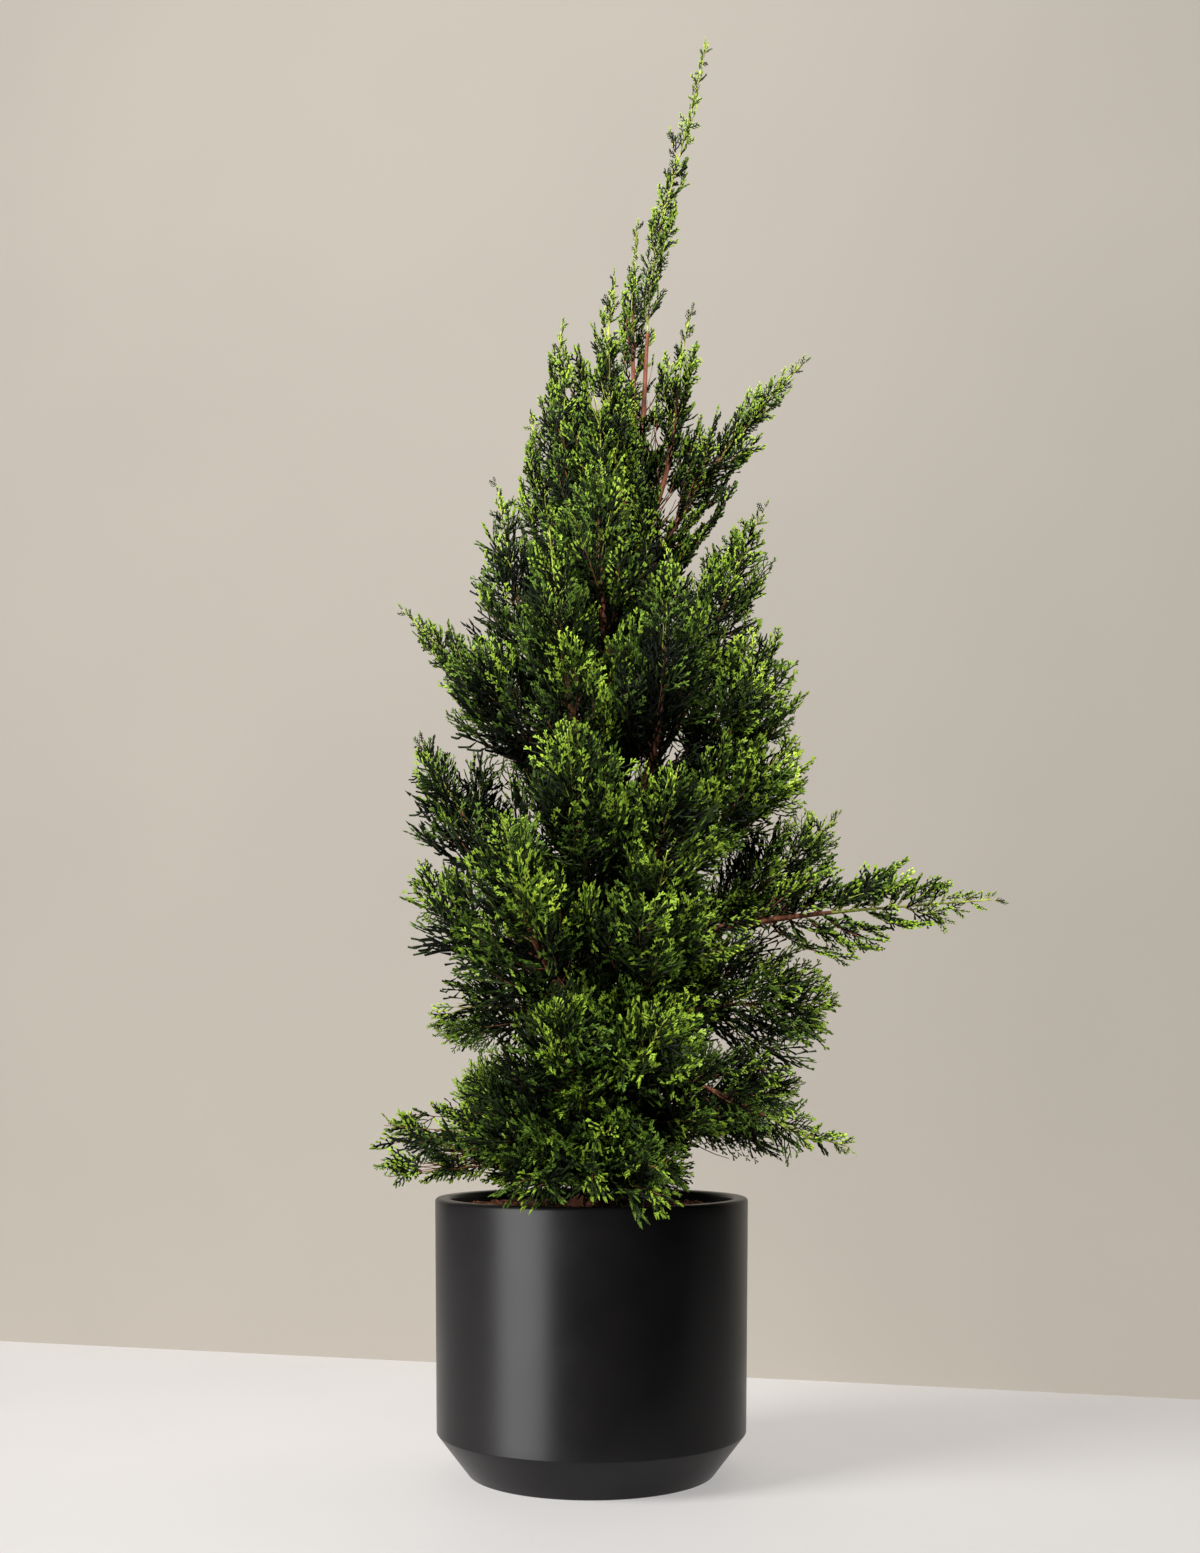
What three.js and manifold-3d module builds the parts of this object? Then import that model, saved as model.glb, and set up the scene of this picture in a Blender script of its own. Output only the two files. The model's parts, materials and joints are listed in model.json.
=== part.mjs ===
// Hollywood juniper in a round planter, the whole plant at its real size.
// Units are millimetres, +Z is up, and the plant's front faces -Y.
// The origin is the middle of the planter's flat underside.

import * as THREE from 'three';
import { mergeVertices } from 'three/addons/utils/BufferGeometryUtils.js';
import Module from 'manifold-3d';

// Planter: a straight round wall over a sloping foot
const POT_HEIGHT = 261;
const RIM_RADIUS = 152.5;
const SHOULDER_RADIUS = 149;
const SHOULDER_HEIGHT = 39.6;
const BASE_RADIUS = 118.2;
const BASE_EDGE = 4;
const WALL = 14.5;
const FLOOR = 14;
const RIM_ROUNDING = 3;
const RIM_EASING = 0.3;
const POT_SIDES = 44;

// Soil, and the gap left between two pieces that touch
const SOIL_LEVEL = POT_HEIGHT - 10;
const SEAT_GAP = 0.3;

// Trunk: it leans to the plant's right as it climbs and flares into its roots at the soil
const TRUNK_TOP = 1140;
const TRUNK_FOOT_RADIUS = 14;
const TRUNK_TIP_RADIUS = 1.7;
const TRUNK_TAPER_CURVE = 1.1;
const TRUNK_LEAN = 57;
const TRUNK_LEAN_CURVE = 1.15;
const TRUNK_BOW = 0.12;
const TRUNK_SWAY = 7;
const FLARE = 9;
const FLARE_HEIGHT = 24;
const FLARE_ROOTS = 5;
const FLARE_LOBES = 0.45;
const FLARE_TURN = 0.8;
const TRUNK_SIDES = 10;
const TRUNK_STEPS = 12;
const TRUNK_STEP_CURVE = 1.6;

// Boughs and stems: radius grows with length
const STEM_TIP_RADIUS = 0.9;
const STEM_GROWTH = 0.0095;
const STEM_SHARE_OF_TRUNK = 0.85;
const STEM_TAPER_CURVE = 0.8;
const HANDLE = 0.4;
const BOUGH_SIDES = 5;
const BOUGH_STEPS = 4;
const SWING = 14;

// Fullness: how a plume's half width runs from its foot to its tip
const FOOT_FULLNESS = 0.75;
const FULL_FROM = 0.25;
const BLUNTNESS = 0.9;
const BLUNTNESS_BY_GIRTH = 6;
const FULLNESS_CURVE = 0.7;

// Cores: each swells inside its mass and is held off its neighbours
const CORE_SHARE = 0.36;
const CORE_TAPER_CURVE = 3;
const CORE_SIDES = 5;
const CORE_STEPS = 4;
const CORE_START = 0.1;
const CORE_END = 0.94;
const CLEARANCE = 1;
const POT_CLEARANCE = 4;

// Sprays: toothed blades that stand out of the core, turned by the golden angle from one to the next
const SPRAY_WIDTH = 0.7;
const TIP_SPRAY_WIDTH = 0.3;
const SPRAY_THICKNESS = 0.1;
const SPRAY_TOOTH = [0.62, 1];
const SPRAY_NOTCH = [0.66, 0.4];
const SPRAY_RIB = 0.34;
const SPRAY_SPACING = 12;
const SPRAY_SPACING_BY_GIRTH = 0.2;
const FEWEST_SPRAYS = 6;
const GOLDEN_ANGLE = 137.5;
const SPRAY_ANGLE = 37;
const SPRAY_LIFT = 0.15;
const SHORTEST_SPRAY = 24;
const SPRAY_TRIES = [1, 0.85, 0.7, 0.55, 0.42];
const ROOT_DEPTH = 0.35;
const TIP_START = 0.84;
const SPACE_MARGIN = 0.05;
const SMALLEST_FACET = 0.25;

// How far chance moves a spray: along the stem, round it, out from it, about its own rib and in length
const PLACE_SCATTER = 0.4;
const TURN_SCATTER = 40;
const ANGLE_SCATTER = 12;
const TWIST_SCATTER = 90;
const LENGTH_SCATTER = 0.24;
const SEED = 2051;

// Finishes
const POT_FINISH = { color: 0x1b1a1c, roughness: 0.5, metalness: 0 };
const SOIL_FINISH = { color: 0x4a2c1e, roughness: 0.95, metalness: 0 };
const BARK_FINISH = { color: 0x7d4a33, roughness: 0.85, metalness: 0 };
const FOLIAGE_FINISH = { color: 0x3f7a1c, roughness: 0.6, metalness: 0 };

const UP = new THREE.Vector3(0, 0, 1);
const { lerp, degToRad } = THREE.MathUtils;

const wasm = await Module();
wasm.setup();

// A generator of even numbers from 0 to 1 that gives the same row for the same seed
function seeded(seed) {
  let state = seed;
  return () => {
    state = (Math.imul(state, 1664525) + 1013904223) >>> 0;
    return state / 4294967296;
  };
}

// A solid from points and the triangles that join them
function solidFrom(points, triangles) {
  return new wasm.Manifold(new wasm.Mesh({
    numProp: 3,
    vertProperties: new Float32Array(points.flatMap((point) => point.toArray())),
    triVerts: new Uint32Array(triangles.flat()),
  }));
}

// A solid from a closed three.js geometry, whose shared vertices are merged first
function solidFromGeometry(geometry) {
  geometry.deleteAttribute('normal');
  geometry.deleteAttribute('uv');
  const merged = mergeVertices(geometry, 1e-3);
  return new wasm.Manifold(new wasm.Mesh({
    numProp: 3,
    vertProperties: merged.attributes.position.array,
    triVerts: new Uint32Array(merged.index.array),
  }));
}

// The largest body of a solid, without loose scraps or sealed hollows
function largestBody(solid) {
  const bodies = solid.decompose();
  return bodies.reduce((best, body) => (body.volume() > best.volume() ? body : best));
}

// A closed skin over rings of equal count, with a fan of triangles on either end
function skin(rings) {
  const sides = rings[0].length;
  const lastRing = (rings.length - 1) * sides;
  const triangles = [];
  for (let start = 0; start < lastRing; start += sides) {
    for (let side = 0; side < sides; side += 1) {
      const here = start + side;
      const beside = start + (side + 1) % sides;
      triangles.push([here, beside, beside + sides], [here, beside + sides, here + sides]);
    }
  }
  for (let side = 1; side + 1 < sides; side += 1) {
    triangles.push([0, side + 1, side], [lastRing, lastRing + side, lastRing + side + 1]);
  }
  return solidFrom(rings.flat(), triangles);
}

// Two directions square to a line, the first as near as can be to the one given
function crossAxes(along, nearest) {
  const first = nearest.clone().addScaledVector(along, -nearest.dot(along)).normalize();
  return [first, along.clone().cross(first)];
}

// A ring of points round a centre, with a radius for each turn
function ring(centre, [first, second], sides, radiusAt) {
  return Array.from({ length: sides }, (_, side) => {
    const turn = side * 2 * Math.PI / sides;
    const radius = radiusAt(turn);
    return centre.clone()
      .addScaledVector(first, radius * Math.cos(turn))
      .addScaledVector(second, radius * Math.sin(turn));
  });
}

// The trunk's centre line and radius at a height
function trunkShare(height) {
  return THREE.MathUtils.clamp((height - SOIL_LEVEL) / (TRUNK_TOP - SOIL_LEVEL), 0, 1);
}

function trunkCentre(height) {
  const share = trunkShare(height);
  const bow = 1 + TRUNK_BOW * Math.sin(Math.PI * share);
  const lean = TRUNK_LEAN * Math.pow(share, TRUNK_LEAN_CURVE) * bow;
  return new THREE.Vector3(lean, TRUNK_SWAY * Math.sin(Math.PI * share), height);
}

function trunkRadius(height, turn = 0) {
  const taper = Math.pow(1 - trunkShare(height), TRUNK_TAPER_CURVE);
  const rootLobes = 1 + FLARE_LOBES * Math.cos(FLARE_ROOTS * turn + FLARE_TURN);
  const flare = FLARE * Math.exp((SOIL_LEVEL - height) / FLARE_HEIGHT) * rootLobes;
  return lerp(TRUNK_TIP_RADIUS, TRUNK_FOOT_RADIUS, taper) + flare;
}

// The trunk from its flat cut on the soil to its tip, grown by an offset where another piece is cut to it
function trunkSolid(offset) {
  const foot = SOIL_LEVEL + SEAT_GAP - offset;
  const axes = [new THREE.Vector3(1, 0, 0), new THREE.Vector3(0, 1, 0)];
  const rings = Array.from({ length: TRUNK_STEPS + 1 }, (_, step) => {
    const height = lerp(foot, TRUNK_TOP, Math.pow(step / TRUNK_STEPS, TRUNK_STEP_CURVE));
    return ring(
      trunkCentre(Math.max(height, SOIL_LEVEL)),
      axes,
      TRUNK_SIDES,
      (turn) => trunkRadius(height, turn) + offset,
    ).map((point) => point.setZ(height));
  });
  return skin(rings);
}

// A direction from its bearing round the trunk and its climb above level, in degrees.
// Bearing 0 is the plant's right, 90 its back, 180 its left and 270 its front.
function heading(bearing, climb) {
  return new THREE.Vector3(1, 0, 0)
    .applyAxisAngle(new THREE.Vector3(0, -1, 0), degToRad(climb))
    .applyAxisAngle(UP, degToRad(bearing));
}

// Every plume of the crown, by the height where it leaves the trunk, the bearing, reach and height
// of its tip, its climb at the trunk and at the tip, the bare share of its length, the half width
// of its foliage, and whether its bare wood is a bough of its own.
const plumes = [];

function plume(name, foot, [bearing, reach, tip], [leave, arrive], bare, girth, hasBough = false) {
  plumes.push({ name, foot, bearing, reach, tip, leave, arrive, bare, girth, hasBough });
}

// The top of the crown
plume('leader', TRUNK_TOP, [355, 120, 1453], [87, 80], 0, 29);
plume('spire_tall', 1000, [12, 48, 1266], [74, 98], 0.2, 30);
plume('spire_gold', 905, [303, 45, 1184], [48, 110], 0.28, 31);
plume('crest_left', 845, [195, 32, 1149], [57, 94], 0.2, 43);
plume('crest_right', 915, [350, 103, 1157], [58, 74], 0.2, 41);
plume('shoulder_left', 785, [150, 75, 1073], [50, 80], 0.2, 46);

// The plant's left side
plume('flank_left', 690, [183, 97, 982], [42, 82], 0.22, 66, true);
plume('elbow_left', 640, [202, 130, 803], [30, 62], 0.24, 81);
plume('arm_left', 585, [186, 194, 846], [44, 42], 0.46, 37, true);
plume('side_left', 505, [178, 176, 721], [30, 62], 0.26, 74, true);
plume('low_left', 465, [195, 172, 584], [12, 70], 0.24, 74, true);
plume('droop_left', 425, [170, 160, 430], [10, -38], 0.2, 64);
plume('hem_left', 318, [160, 128, 380], [12, 48], 0.18, 70);
plume('rim_left', 284, [198, 206, 338], [8, 28], 0.42, 44, true);

// The plant's right side
plume('arm_right', 860, [0, 222, 1114], [62, 46], 0.25, 36, true);
plume('flank_right', 650, [8, 182, 967], [45, 62], 0.3, 64, true);
plume('shoulder_right', 590, [355, 187, 823], [40, 68], 0.28, 87, true);
plume('side_right', 540, [352, 205, 712], [30, 46], 0.28, 81, true);
plume('wing_right', 475, [8, 257, 646], [22, 42], 0.34, 62, true);
plume('reach_right', 500, [353, 404, 549], [14, 4], 0.36, 54, true);
plume('low_right', 405, [2, 244, 451], [36, 2], 0.28, 90, true);
plume('hem_right', 330, [16, 220, 372], [14, 20], 0.24, 70);
plume('rim_right', 385, [352, 257, 309], [4, -12], 0.32, 60, true);

// The front
plume('front_column', 740, [278, 61, 1041], [40, 88], 0.2, 59, true);
plume('front_fan', 620, [246, 104, 917], [34, 80], 0.2, 67, true);
plume('front_flame', 610, [309, 118, 885], [34, 84], 0.22, 73, true);
plume('breast_left', 520, [260, 130, 707], [26, 80], 0.18, 84);
plume('breast_right', 515, [303, 148, 665], [26, 66], 0.18, 84);
plume('belly_left', 430, [240, 156, 619], [22, 84], 0.18, 87);
plume('belly_right', 425, [297, 158, 590], [20, 52], 0.18, 87);
plume('skirt_left', 350, [257, 146, 440], [12, 50], 0.14, 87);
plume('skirt_right', 355, [295, 160, 430], [12, 40], 0.14, 87);
plume('rim_front', 300, [277, 151, 330], [14, 8], 0.12, 78);

// The back: plumes climb it on either hand in turn, drawing in towards the top. Each pair of
// numbers is for the lowest and the highest of them.
const BACK_PLUMES = 8;
const BACK_FEET = [305, 820];
const BACK_RISES = [70, 300];
const BACK_RISE_CURVE = 0.7;
const BACK_REACHES = [168, 52];
const BACK_SPREADS = [50, 22];
const BACK_SCATTER = 10;
const BACK_LEAVES = [10, 46];
const BACK_ARRIVES = [40, 86];
const BACK_BARE = 0.18;
const BACK_GIRTHS = [86, 50];

const backRandom = seeded(SEED);
for (let index = 0; index < BACK_PLUMES; index += 1) {
  const rank = index / (BACK_PLUMES - 1);
  const hand = index % 2 === 0 ? 1 : -1;
  const bearing = 90 + hand * lerp(...BACK_SPREADS, rank) + BACK_SCATTER * (backRandom() - 0.5);
  const foot = lerp(...BACK_FEET, rank);
  plume(
    `back_${index + 1}`,
    foot,
    [bearing, lerp(...BACK_REACHES, rank), foot + lerp(...BACK_RISES, Math.pow(rank, BACK_RISE_CURVE))],
    [lerp(...BACK_LEAVES, rank), lerp(...BACK_ARRIVES, rank)],
    BACK_BARE,
    lerp(...BACK_GIRTHS, rank),
  );
}

// The line a plume follows: out from the trunk's centre line, then round to the climb of its tip
function plumeLine({ foot, bearing, reach, tip, leave, arrive }, swing) {
  const start = trunkCentre(foot);
  const end = heading(bearing, 0).multiplyScalar(reach).setZ(tip);
  const span = end.clone().sub(start);
  const course = THREE.MathUtils.radToDeg(Math.atan2(span.y, span.x));
  const handle = HANDLE * span.length();
  return new THREE.CubicBezierCurve3(
    start,
    start.clone().addScaledVector(heading(course + swing, leave), handle),
    end.clone().addScaledVector(heading(course - swing, arrive), -handle),
    end,
  );
}

const swingRandom = seeded(SEED + 1);
for (const each of plumes) {
  each.line = plumeLine(each, SWING * (swingRandom() - 0.5));
  each.length = each.line.getLength();
  each.across = heading(each.bearing + 90, 0);
  each.stemStart = each.bare + SEAT_GAP / each.length;
}

// A stem's radius at a share of its plume's length
function stemRadius({ length, foot }, share) {
  const growth = Math.min(STEM_GROWTH * length, STEM_SHARE_OF_TRUNK * trunkRadius(foot) - STEM_TIP_RADIUS);
  return STEM_TIP_RADIUS + growth * Math.pow(1 - share, STEM_TAPER_CURVE);
}

// How full a plume is at a share of its foliage: slender ones draw to a point, stout ones stay blunt
function fullness({ girth, length, bare }, share) {
  const bluntness = BLUNTNESS + BLUNTNESS_BY_GIRTH * girth / (length * (1 - bare));
  const rise = lerp(FOOT_FULLNESS, 1, Math.min(1, share / FULL_FROM));
  return rise * Math.pow(1 - Math.pow(share, bluntness), FULLNESS_CURVE);
}

// A limb along a plume's line, through the shares given, with a radius at each
function limb(each, shares, sides, radiusAt) {
  return skin(shares.map((share) => {
    const axes = crossAxes(each.line.getTangent(share), each.across);
    return ring(each.line.getPoint(share), axes, sides, () => radiusAt(share));
  }));
}

// Even shares from one to another
function evenShares(from, to, steps) {
  return Array.from({ length: steps + 1 }, (_, step) => lerp(from, to, step / steps));
}

// A spray: a flat toothed blade, thickest on its rib and sharp round its outline
function sprayOutline(root, along, flat, length, width = SPRAY_WIDTH) {
  const at = ([forward, sideways]) => root.clone()
    .addScaledVector(along, forward * length)
    .addScaledVector(flat, sideways * length * width / 2);
  const [[tooth, toothSide], [notch, notchSide]] = [SPRAY_TOOTH, SPRAY_NOTCH];
  return [[0, 0], [tooth, -toothSide], [notch, -notchSide], [1, 0], [notch, notchSide], [tooth, toothSide]]
    .map(at);
}

function spray(root, along, flat, length, width) {
  const outline = sprayOutline(root, along, flat, length, width);
  const rib = root.clone().addScaledVector(along, SPRAY_RIB * length);
  const rise = along.clone().cross(flat).multiplyScalar(length * SPRAY_THICKNESS / 2);
  const count = outline.length;
  const triangles = [];
  for (let point = 0; point < count; point += 1) {
    const next = (point + 1) % count;
    triangles.push([point, next, count], [next, point, count + 1]);
  }
  return solidFrom([...outline, rib.clone().add(rise), rib.clone().sub(rise)], triangles);
}

// A plume's bare wood and its foliage as short straight lines, which distances are taken from
function straightLines({ line }, from, to, steps) {
  const points = evenShares(from, to, steps).map((share) => line.getPoint(share));
  return points.slice(1).map((point, index) => new THREE.Line3(points[index], point));
}

function distanceFrom(lines, point) {
  const closest = new THREE.Vector3();
  const distances = lines.map((line) => line.closestPointToPoint(point, true, closest).distanceTo(point));
  return Math.min(...distances);
}

for (const each of plumes) {
  each.bareLines = straightLines(each, 0, each.bare, 4);
  each.leafyLines = straightLines(each, each.bare, 1, 8);
}

// A mass's own space is every point that is nearer to its line than to any other, in girths
function inOwnSpace(each, point) {
  const own = distanceFrom(each.leafyLines, point) / each.girth + SPACE_MARGIN;
  return plumes.every((other) => (
    other === each || distanceFrom(other.leafyLines, point) / other.girth > own
  ));
}

// How far a core may swell at a point: half way to the next mass, and clear of limbs and planter
function roomAt(each, point) {
  const toTrunk = point.distanceTo(trunkCentre(Math.min(point.z, TRUNK_TOP)));
  const rooms = [toTrunk - trunkRadius(point.z) - CLEARANCE, point.z - POT_HEIGHT - CLEARANCE];
  for (const other of plumes.filter((candidate) => candidate !== each)) {
    rooms.push(distanceFrom(other.leafyLines, point) / 2 - CLEARANCE);
    rooms.push(distanceFrom(other.bareLines, point) - stemRadius(other, 0) - CLEARANCE);
  }
  return Math.min(...rooms);
}

// Whether a solid stands clear of others, looked at only where their boxes meet
function boxesMeet(one, other) {
  const [a, b] = [one.boundingBox(), other.boundingBox()];
  return [0, 1, 2].every((axis) => a.min[axis] < b.max[axis] && b.min[axis] < a.max[axis]);
}

function standsClear(solid, others) {
  return others.every((other) => !boxesMeet(solid, other) || solid.intersect(other).isEmpty());
}

// A solid turned about the planter's middle line from a profile of radii and heights
function turned(profile) {
  const points = profile.map(([radius, height]) => new THREE.Vector2(radius, height));
  const geometry = new THREE.LatheGeometry(points, POT_SIDES);
  geometry.rotateX(Math.PI / 2);
  return solidFromGeometry(geometry);
}

// Planter: one closed profile, from the middle of its underside round the wall to its floor
function potSolid() {
  const slope = (SHOULDER_RADIUS - BASE_RADIUS) / SHOULDER_HEIGHT;
  const innerTop = RIM_RADIUS - WALL;
  const eased = RIM_EASING * RIM_ROUNDING;
  return turned([
    [0, 0],
    [BASE_RADIUS - BASE_EDGE, 0],
    [BASE_RADIUS + slope * BASE_EDGE / 2, BASE_EDGE / 2],
    [SHOULDER_RADIUS, SHOULDER_HEIGHT],
    [RIM_RADIUS, POT_HEIGHT - RIM_ROUNDING],
    [RIM_RADIUS - eased, POT_HEIGHT - eased],
    [RIM_RADIUS - RIM_ROUNDING, POT_HEIGHT],
    [innerTop + RIM_ROUNDING, POT_HEIGHT],
    [innerTop + eased, POT_HEIGHT - eased],
    [innerTop, POT_HEIGHT - RIM_ROUNDING],
    [SHOULDER_RADIUS - WALL, SHOULDER_HEIGHT],
    [BASE_RADIUS - WALL, FLOOR],
    [0, FLOOR],
  ]);
}

// Soil that fills the planter to a finger's breadth below its rim
function soilSolid() {
  const wall = WALL + SEAT_GAP;
  const levelShare = (SOIL_LEVEL - SHOULDER_HEIGHT) / (POT_HEIGHT - RIM_ROUNDING - SHOULDER_HEIGHT);
  return turned([
    [0, FLOOR + SEAT_GAP],
    [BASE_RADIUS - wall, FLOOR + SEAT_GAP],
    [SHOULDER_RADIUS - wall, SHOULDER_HEIGHT],
    [lerp(SHOULDER_RADIUS, RIM_RADIUS, levelShare) - wall, SOIL_LEVEL],
    [0, SOIL_LEVEL],
  ]);
}

// The room that foliage leaves free round the planter
function potRoom() {
  const outside = RIM_RADIUS + POT_CLEARANCE;
  const top = POT_HEIGHT + CLEARANCE;
  return turned([[0, 0], [outside, 0], [outside, top], [0, top]]);
}

const trunk = trunkSolid(0);
const trunkRoom = trunkSolid(SEAT_GAP);

// Boughs, cut to the trunk that they grow from
for (const each of plumes) {
  const radiusAt = (share) => stemRadius(each, share);
  if (each.hasBough) {
    const shares = evenShares(0, each.bare, BOUGH_STEPS);
    each.bough = largestBody(limb(each, shares, BOUGH_SIDES, radiusAt).subtract(trunkRoom));
  }
}

// Cores: each mass's stem, swelling where the foliage is dense as far as its neighbours allow
function coreRadius(each, share) {
  const leafy = (share - each.bare) / (1 - each.bare);
  if (leafy < CORE_START / 2) return stemRadius(each, share);
  const taper = 1 - Math.pow(leafy, CORE_TAPER_CURVE);
  const dense = CORE_SHARE * each.girth * fullness(each, leafy) * taper;
  return Math.max(stemRadius(each, share), Math.min(dense, roomAt(each, each.line.getPoint(share))));
}

function coreSolid(each) {
  const swell = (share) => coreRadius(each, share);
  const start = each.hasBough || each.bare === 0 ? each.stemStart : each.bare;
  const leafy = [start, ...evenShares(lerp(start, 1, CORE_START), CORE_END, CORE_STEPS)];
  if (start === each.stemStart) return limb(each, leafy, CORE_SIDES, swell);
  return largestBody(limb(each, [0, start / 2, ...leafy], CORE_SIDES, swell).subtract(trunkRoom));
}

const limbRooms = [trunkSolid(CLEARANCE), potRoom()];
for (const each of plumes.filter(({ hasBough }) => hasBough)) {
  const shares = evenShares(0, each.bare, BOUGH_STEPS);
  each.boughRoom = limb(each, shares, BOUGH_SIDES, (share) => stemRadius(each, share) + CLEARANCE);
  limbRooms.push(each.boughRoom);
}

for (const each of plumes) {
  each.core = coreSolid(each);
}

// Sprays: they leave the core all round, longest where the plume is fullest, and one ends its tip.
// A spray that would leave its mass's space or touch a limb is made shorter, and then skipped.
function leafOut(each, finished) {
  const random = seeded(SEED + Math.round(each.foot) + Math.round(each.tip));
  const foliageLength = each.length * (1 - each.bare);
  const spacing = SPRAY_SPACING + SPRAY_SPACING_BY_GIRTH * each.girth;
  const count = Math.max(FEWEST_SPRAYS, Math.round(foliageLength / spacing));
  const blockers = [
    ...limbRooms.filter((room) => room !== each.boughRoom),
    ...plumes.filter((other) => other !== each && !finished.includes(other)).map(({ core }) => core),
    ...finished.map(({ mass }) => mass),
  ];
  const parts = [each.core];

  const grow = (root, along, flat, length) => {
    const share = SPRAY_TRIES.find((shorter) => (
      length * shorter >= SHORTEST_SPRAY * SPRAY_TRIES.at(-1)
      && sprayOutline(root, along, flat, length * shorter).slice(1).every((point) => inOwnSpace(each, point))
      && standsClear(spray(root, along, flat, length * shorter), blockers)
    ));
    if (share) parts.push(spray(root, along, flat, length * share));
  };

  for (let index = 0; index < count; index += 1) {
    const chance = (scatter) => scatter * (random() - 0.5);
    const inFoliage = (index + 0.5 + chance(PLACE_SCATTER)) / count;
    const share = lerp(each.bare, TIP_START, inFoliage);
    const stemWay = each.line.getTangent(share);
    const [first, second] = crossAxes(stemWay, each.across);
    const turn = degToRad(GOLDEN_ANGLE * index + chance(TURN_SCATTER));
    const out = first.multiplyScalar(Math.cos(turn)).addScaledVector(second, Math.sin(turn));
    const lean = degToRad(SPRAY_ANGLE + chance(ANGLE_SCATTER));
    const along = stemWay.clone().multiplyScalar(Math.cos(lean))
      .addScaledVector(out, Math.sin(lean))
      .addScaledVector(UP, SPRAY_LIFT)
      .normalize();
    const flat = crossAxes(along, stemWay.clone().cross(out))[0]
      .applyAxisAngle(along, degToRad(chance(TWIST_SCATTER)));
    const depth = ROOT_DEPTH * coreRadius(each, share);
    const outward = each.girth * fullness(each, inFoliage) * (1 + chance(LENGTH_SCATTER)) - depth;
    const length = Math.max(SHORTEST_SPRAY, outward / Math.sin(degToRad(SPRAY_ANGLE)));
    grow(each.line.getPoint(share).addScaledVector(out, depth), along, flat, length);
  }

  const tipRoot = each.line.getPoint(TIP_START);
  const tipSpan = each.line.getPoint(1).sub(tipRoot);
  const tipWay = tipSpan.clone().normalize();
  const tipFlat = crossAxes(tipWay, each.across)[0];
  parts.push(spray(tipRoot, tipWay, tipFlat, tipSpan.length(), TIP_SPRAY_WIDTH));
  return largestBody(wasm.Manifold.union(parts)).simplify(SMALLEST_FACET);
}

const finished = [];
for (const each of plumes) {
  each.mass = leafOut(each, finished);
  finished.push(each);
}

// Every piece of the plant as a named mesh
const juniper = new THREE.Group();

function addPiece(name, solid, finish) {
  const { vertProperties, triVerts } = solid.getMesh();
  const geometry = new THREE.BufferGeometry();
  geometry.setAttribute('position', new THREE.Float32BufferAttribute(vertProperties, 3));
  geometry.setIndex(new THREE.Uint32BufferAttribute(triVerts, 1));
  geometry.computeVertexNormals();
  const mesh = new THREE.Mesh(geometry, new THREE.MeshStandardMaterial({ ...finish, flatShading: true }));
  mesh.name = name;
  juniper.add(mesh);
}

addPiece('planter', potSolid(), POT_FINISH);
addPiece('soil', soilSolid(), SOIL_FINISH);
addPiece('trunk', trunk, BARK_FINISH);
for (const { name, hasBough, bough, mass } of plumes) {
  if (hasBough) addPiece(`bough_${name}`, bough, BARK_FINISH);
  addPiece(`foliage_${name}`, mass, FOLIAGE_FINISH);
}

export default juniper;
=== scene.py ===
import json
from functools import partial
from math import atan2, ceil, cos, degrees, dist, exp, hypot, pi, radians, sin, tan
from types import SimpleNamespace

import bmesh
import bpy
import numpy as np
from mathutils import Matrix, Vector, noise

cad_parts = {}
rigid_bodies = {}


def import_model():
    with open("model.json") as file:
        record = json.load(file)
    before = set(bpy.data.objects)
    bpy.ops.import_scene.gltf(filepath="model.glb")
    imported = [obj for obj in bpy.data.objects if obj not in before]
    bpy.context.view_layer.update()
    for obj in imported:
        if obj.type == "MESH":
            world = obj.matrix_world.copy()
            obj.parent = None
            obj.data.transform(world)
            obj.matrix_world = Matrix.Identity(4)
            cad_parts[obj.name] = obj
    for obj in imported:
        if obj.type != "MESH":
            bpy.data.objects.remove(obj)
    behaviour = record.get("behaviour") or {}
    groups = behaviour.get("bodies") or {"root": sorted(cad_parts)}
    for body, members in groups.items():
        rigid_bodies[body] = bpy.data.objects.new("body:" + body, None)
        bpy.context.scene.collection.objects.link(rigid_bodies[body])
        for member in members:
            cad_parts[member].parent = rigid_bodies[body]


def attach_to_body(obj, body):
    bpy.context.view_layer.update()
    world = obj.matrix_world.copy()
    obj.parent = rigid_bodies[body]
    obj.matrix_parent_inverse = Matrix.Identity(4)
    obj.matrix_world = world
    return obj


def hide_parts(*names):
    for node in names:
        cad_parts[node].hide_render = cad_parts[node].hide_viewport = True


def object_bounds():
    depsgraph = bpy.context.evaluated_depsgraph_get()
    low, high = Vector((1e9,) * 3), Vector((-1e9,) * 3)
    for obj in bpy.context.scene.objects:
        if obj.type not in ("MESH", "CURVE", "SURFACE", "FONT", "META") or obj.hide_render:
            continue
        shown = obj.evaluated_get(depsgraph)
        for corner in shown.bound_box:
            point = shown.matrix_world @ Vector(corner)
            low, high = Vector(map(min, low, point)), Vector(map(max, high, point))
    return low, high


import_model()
cad_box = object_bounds()
scene = bpy.context.scene

# Camera: low in front of the plant, tipped up a little, with the lens shifted so that the
# planter's sides stay upright and the whole plant stands inside the tall picture.
PICTURE_HEIGHT = 1553
FOCAL_PIXELS = 1645
CAMERA_PLACE = (0.0082, -1.628, 0.367)
CAMERA_CLIMB = 5.42
CAMERA_SHIFT = 0.1

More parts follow.
